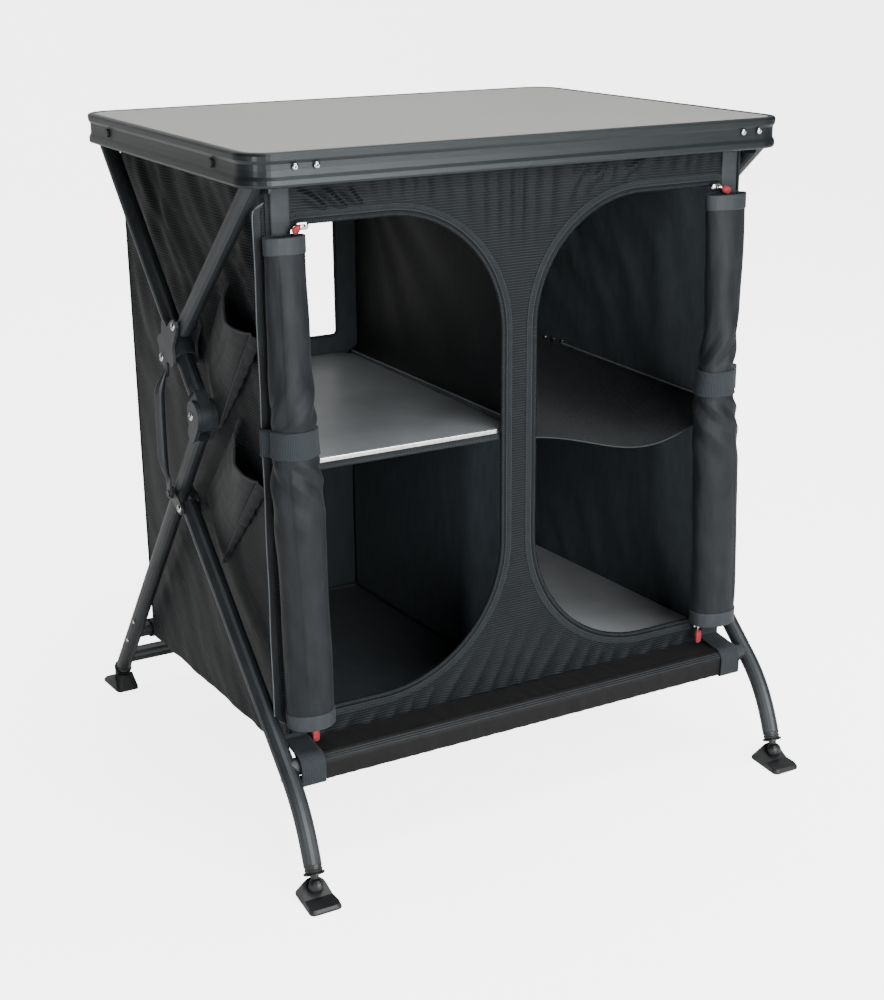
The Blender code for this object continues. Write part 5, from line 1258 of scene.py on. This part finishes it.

# %% [markdown]
# ## Finishes on the hard parts
# The frame's own solids stay as they are and only take the finishes above.

# %% Dress the frame
# The first word that a node's name holds gives its slot's name and its finish; only the finish is put on.
DRESS = (("table_panel", "grey_laminate", top_laminate), ("apron_rail", "anthracite_rail", rail_metal),
         ("leg_bracket", "pressed_steel", tube_paint), ("lower_bracket", "pressed_steel", tube_paint),
         ("elbow", "dark_moulding", nylon), ("hub", "dark_moulding", nylon),
         ("lock_button", "red_tab", red_nylon), ("foot", "dark_moulding", foot_nylon_painted_shade),
         ("edge_rail", "bright_trim", bright_steel),
         ("shelf_board", "grey_shelf", shelf_sheet), ("floor_board", "grey_shelf", floor_sheet_painted_light),
         ("tube", "anthracite_tube", tube_paint), ("link", "anthracite_tube", tube_paint))
for name, obj in nodes.items():
    if obj.hide_render:
        continue
    slot_name, finish = next(row[1:] for row in DRESS if row[0] in name)
    obj.data.materials.clear()
    obj.data.materials.append(finish)
print("finishes:", len(bpy.data.materials), "materials")

# %% [markdown]
# ## Floor, light and camera
# The cupboard stands on a pale studio floor that curves up behind it. Broad soft lights overhead, in front and
# on the backdrop light it as a product photograph does, with a small one for the rail's left corner and a sky
# that is darker on the left. The floor and the sky glow for the camera only, so that the background is nearly
# white and yet lights nothing.

# %% Studio floor
floor_paint, tree, place, shader = material("pale_studio_floor", Roughness=0.75,
                                            Emission_Color=linear("#FFFFFF"))
seen = add(tree, "LightPath", result="Is Camera Ray")
add(tree, "Math", {0: seen, 1: 4.0}, shader["Emission Strength"], operation="MULTIPLY")
haze = add(tree, "TexNoise", {"Vector": place, "Scale": 1 / 0.5, "Detail": 3.0, "Roughness": 0.55})
tint(tree, haze, "#F1F1F0", "#F5F5F4", 0.3, 0.7, to=shader["Base Color"])
FLOOR_HALF, BACK_RADIUS, BACK_START = 9.0, 3.0, 5.0
floor_path = np.vstack([[(-FLOOR_HALF, 0.0)], [(BACK_START, 0.0)],
                        arc((BACK_START, BACK_RADIUS), BACK_RADIUS, -88, 0, 24),
                        [(BACK_START + BACK_RADIUS, 12.0)]])
floor_path, _ = resample(floor_path, 90, closed=False)
x, k = np.meshgrid(np.linspace(-14, 14, 30), np.arange(90), indexing="ij")
floor_points = np.stack([x, floor_path[k, 0], floor_path[k, 1]], axis=-1)
surface("studio_floor", floor_points, (x, floor_path[k, 0]), floor_paint, (0, 0, 1))

# %% Soft lights
def softbox(name, place, target, size, power):
    """A rectangular white area light at a place, looking at a target."""
    lamp = bpy.data.lights.new(name, "AREA")
    lamp.shape = "RECTANGLE"
    lamp.size, lamp.size_y = size
    lamp.energy = power
    obj = bpy.data.objects.new(name, lamp)
    obj.location = place
    obj.rotation_euler = (Vector(target) - Vector(place)).to_track_quat("-Z", "Y").to_euler()
    bpy.context.scene.collection.objects.link(obj)


softbox("overhead_softbox", (0.5, -0.4, 3.2), (0.1, -0.2, 0.5), (2.6, 2.2), 128)
softbox("front_softbox", (0.3, -3.4, 1.35), (0.05, 0, 0.42), (3.0, 2.5), 230)
softbox("backdrop_softbox", (0.0, 3.2, 4.2), (0.0, 6.0, 0.5), (7.0, 1.6), 150)
softbox("corner_softbox", (-1.50, -0.98, 0.32), (-0.33, -0.25, 0.76), (0.14, 0.7), 7)
print("soft lights:", len(bpy.data.lights))

# %% Sky
# It is brighter above and darker on the left. Only the camera sees its last value, a pale backdrop.
sky = bpy.data.worlds.new("studio_air")
bpy.context.scene.world = sky
sky.use_nodes = True
tree = sky.node_tree
look = add(tree, "SeparateXYZ", {"Vector": add(tree, "TexCoord", result="Generated")}).node.outputs
glow = add(tree, "MapRange", {"Value": look["Z"], "From Min": 0.20, "From Max": 0.90, "To Min": 0.42,
                              "To Max": 2.60}, interpolation_type="SMOOTHSTEP")
shade_left = add(tree, "MapRange", {"Value": look["X"], "From Min": -0.9, "From Max": 0.0, "To Min": 0.05,
                                    "To Max": 1.0})
lit = add(tree, "Math", {0: glow, 1: shade_left}, operation="MULTIPLY")
seen = add(tree, "LightPath", result="Is Camera Ray")
backdrop = add(tree, "Math", {0: seen, 1: 75.0}, operation="MULTIPLY")
add(tree, "Math", {0: lit, 1: backdrop}, tree.nodes["Background"].inputs["Strength"], operation="MAXIMUM")

# %% Camera at the photograph's place
camera_data = bpy.data.cameras.new("photograph")
camera_data.sensor_fit = "VERTICAL"
camera_data.sensor_height = 36.0
camera_data.lens = 59.632
camera = bpy.data.objects.new("photograph", camera_data)
bpy.context.scene.collection.objects.link(camera)
camera.location = (-0.94053, -1.72837, 0.96969)
forward = Vector((0.4605246, 0.82815273, -0.31949985))
upward = Vector((0.16258716, 0.27515177, 0.94755312))
right = forward.cross(upward)
camera.rotation_mode = "QUATERNION"
camera.rotation_quaternion = Matrix((right, upward, -forward)).transposed().to_quaternion()
bpy.context.scene.camera = camera
print("camera:", round(camera_data.lens, 2), "mm lens at", [round(c, 3) for c in camera.location])
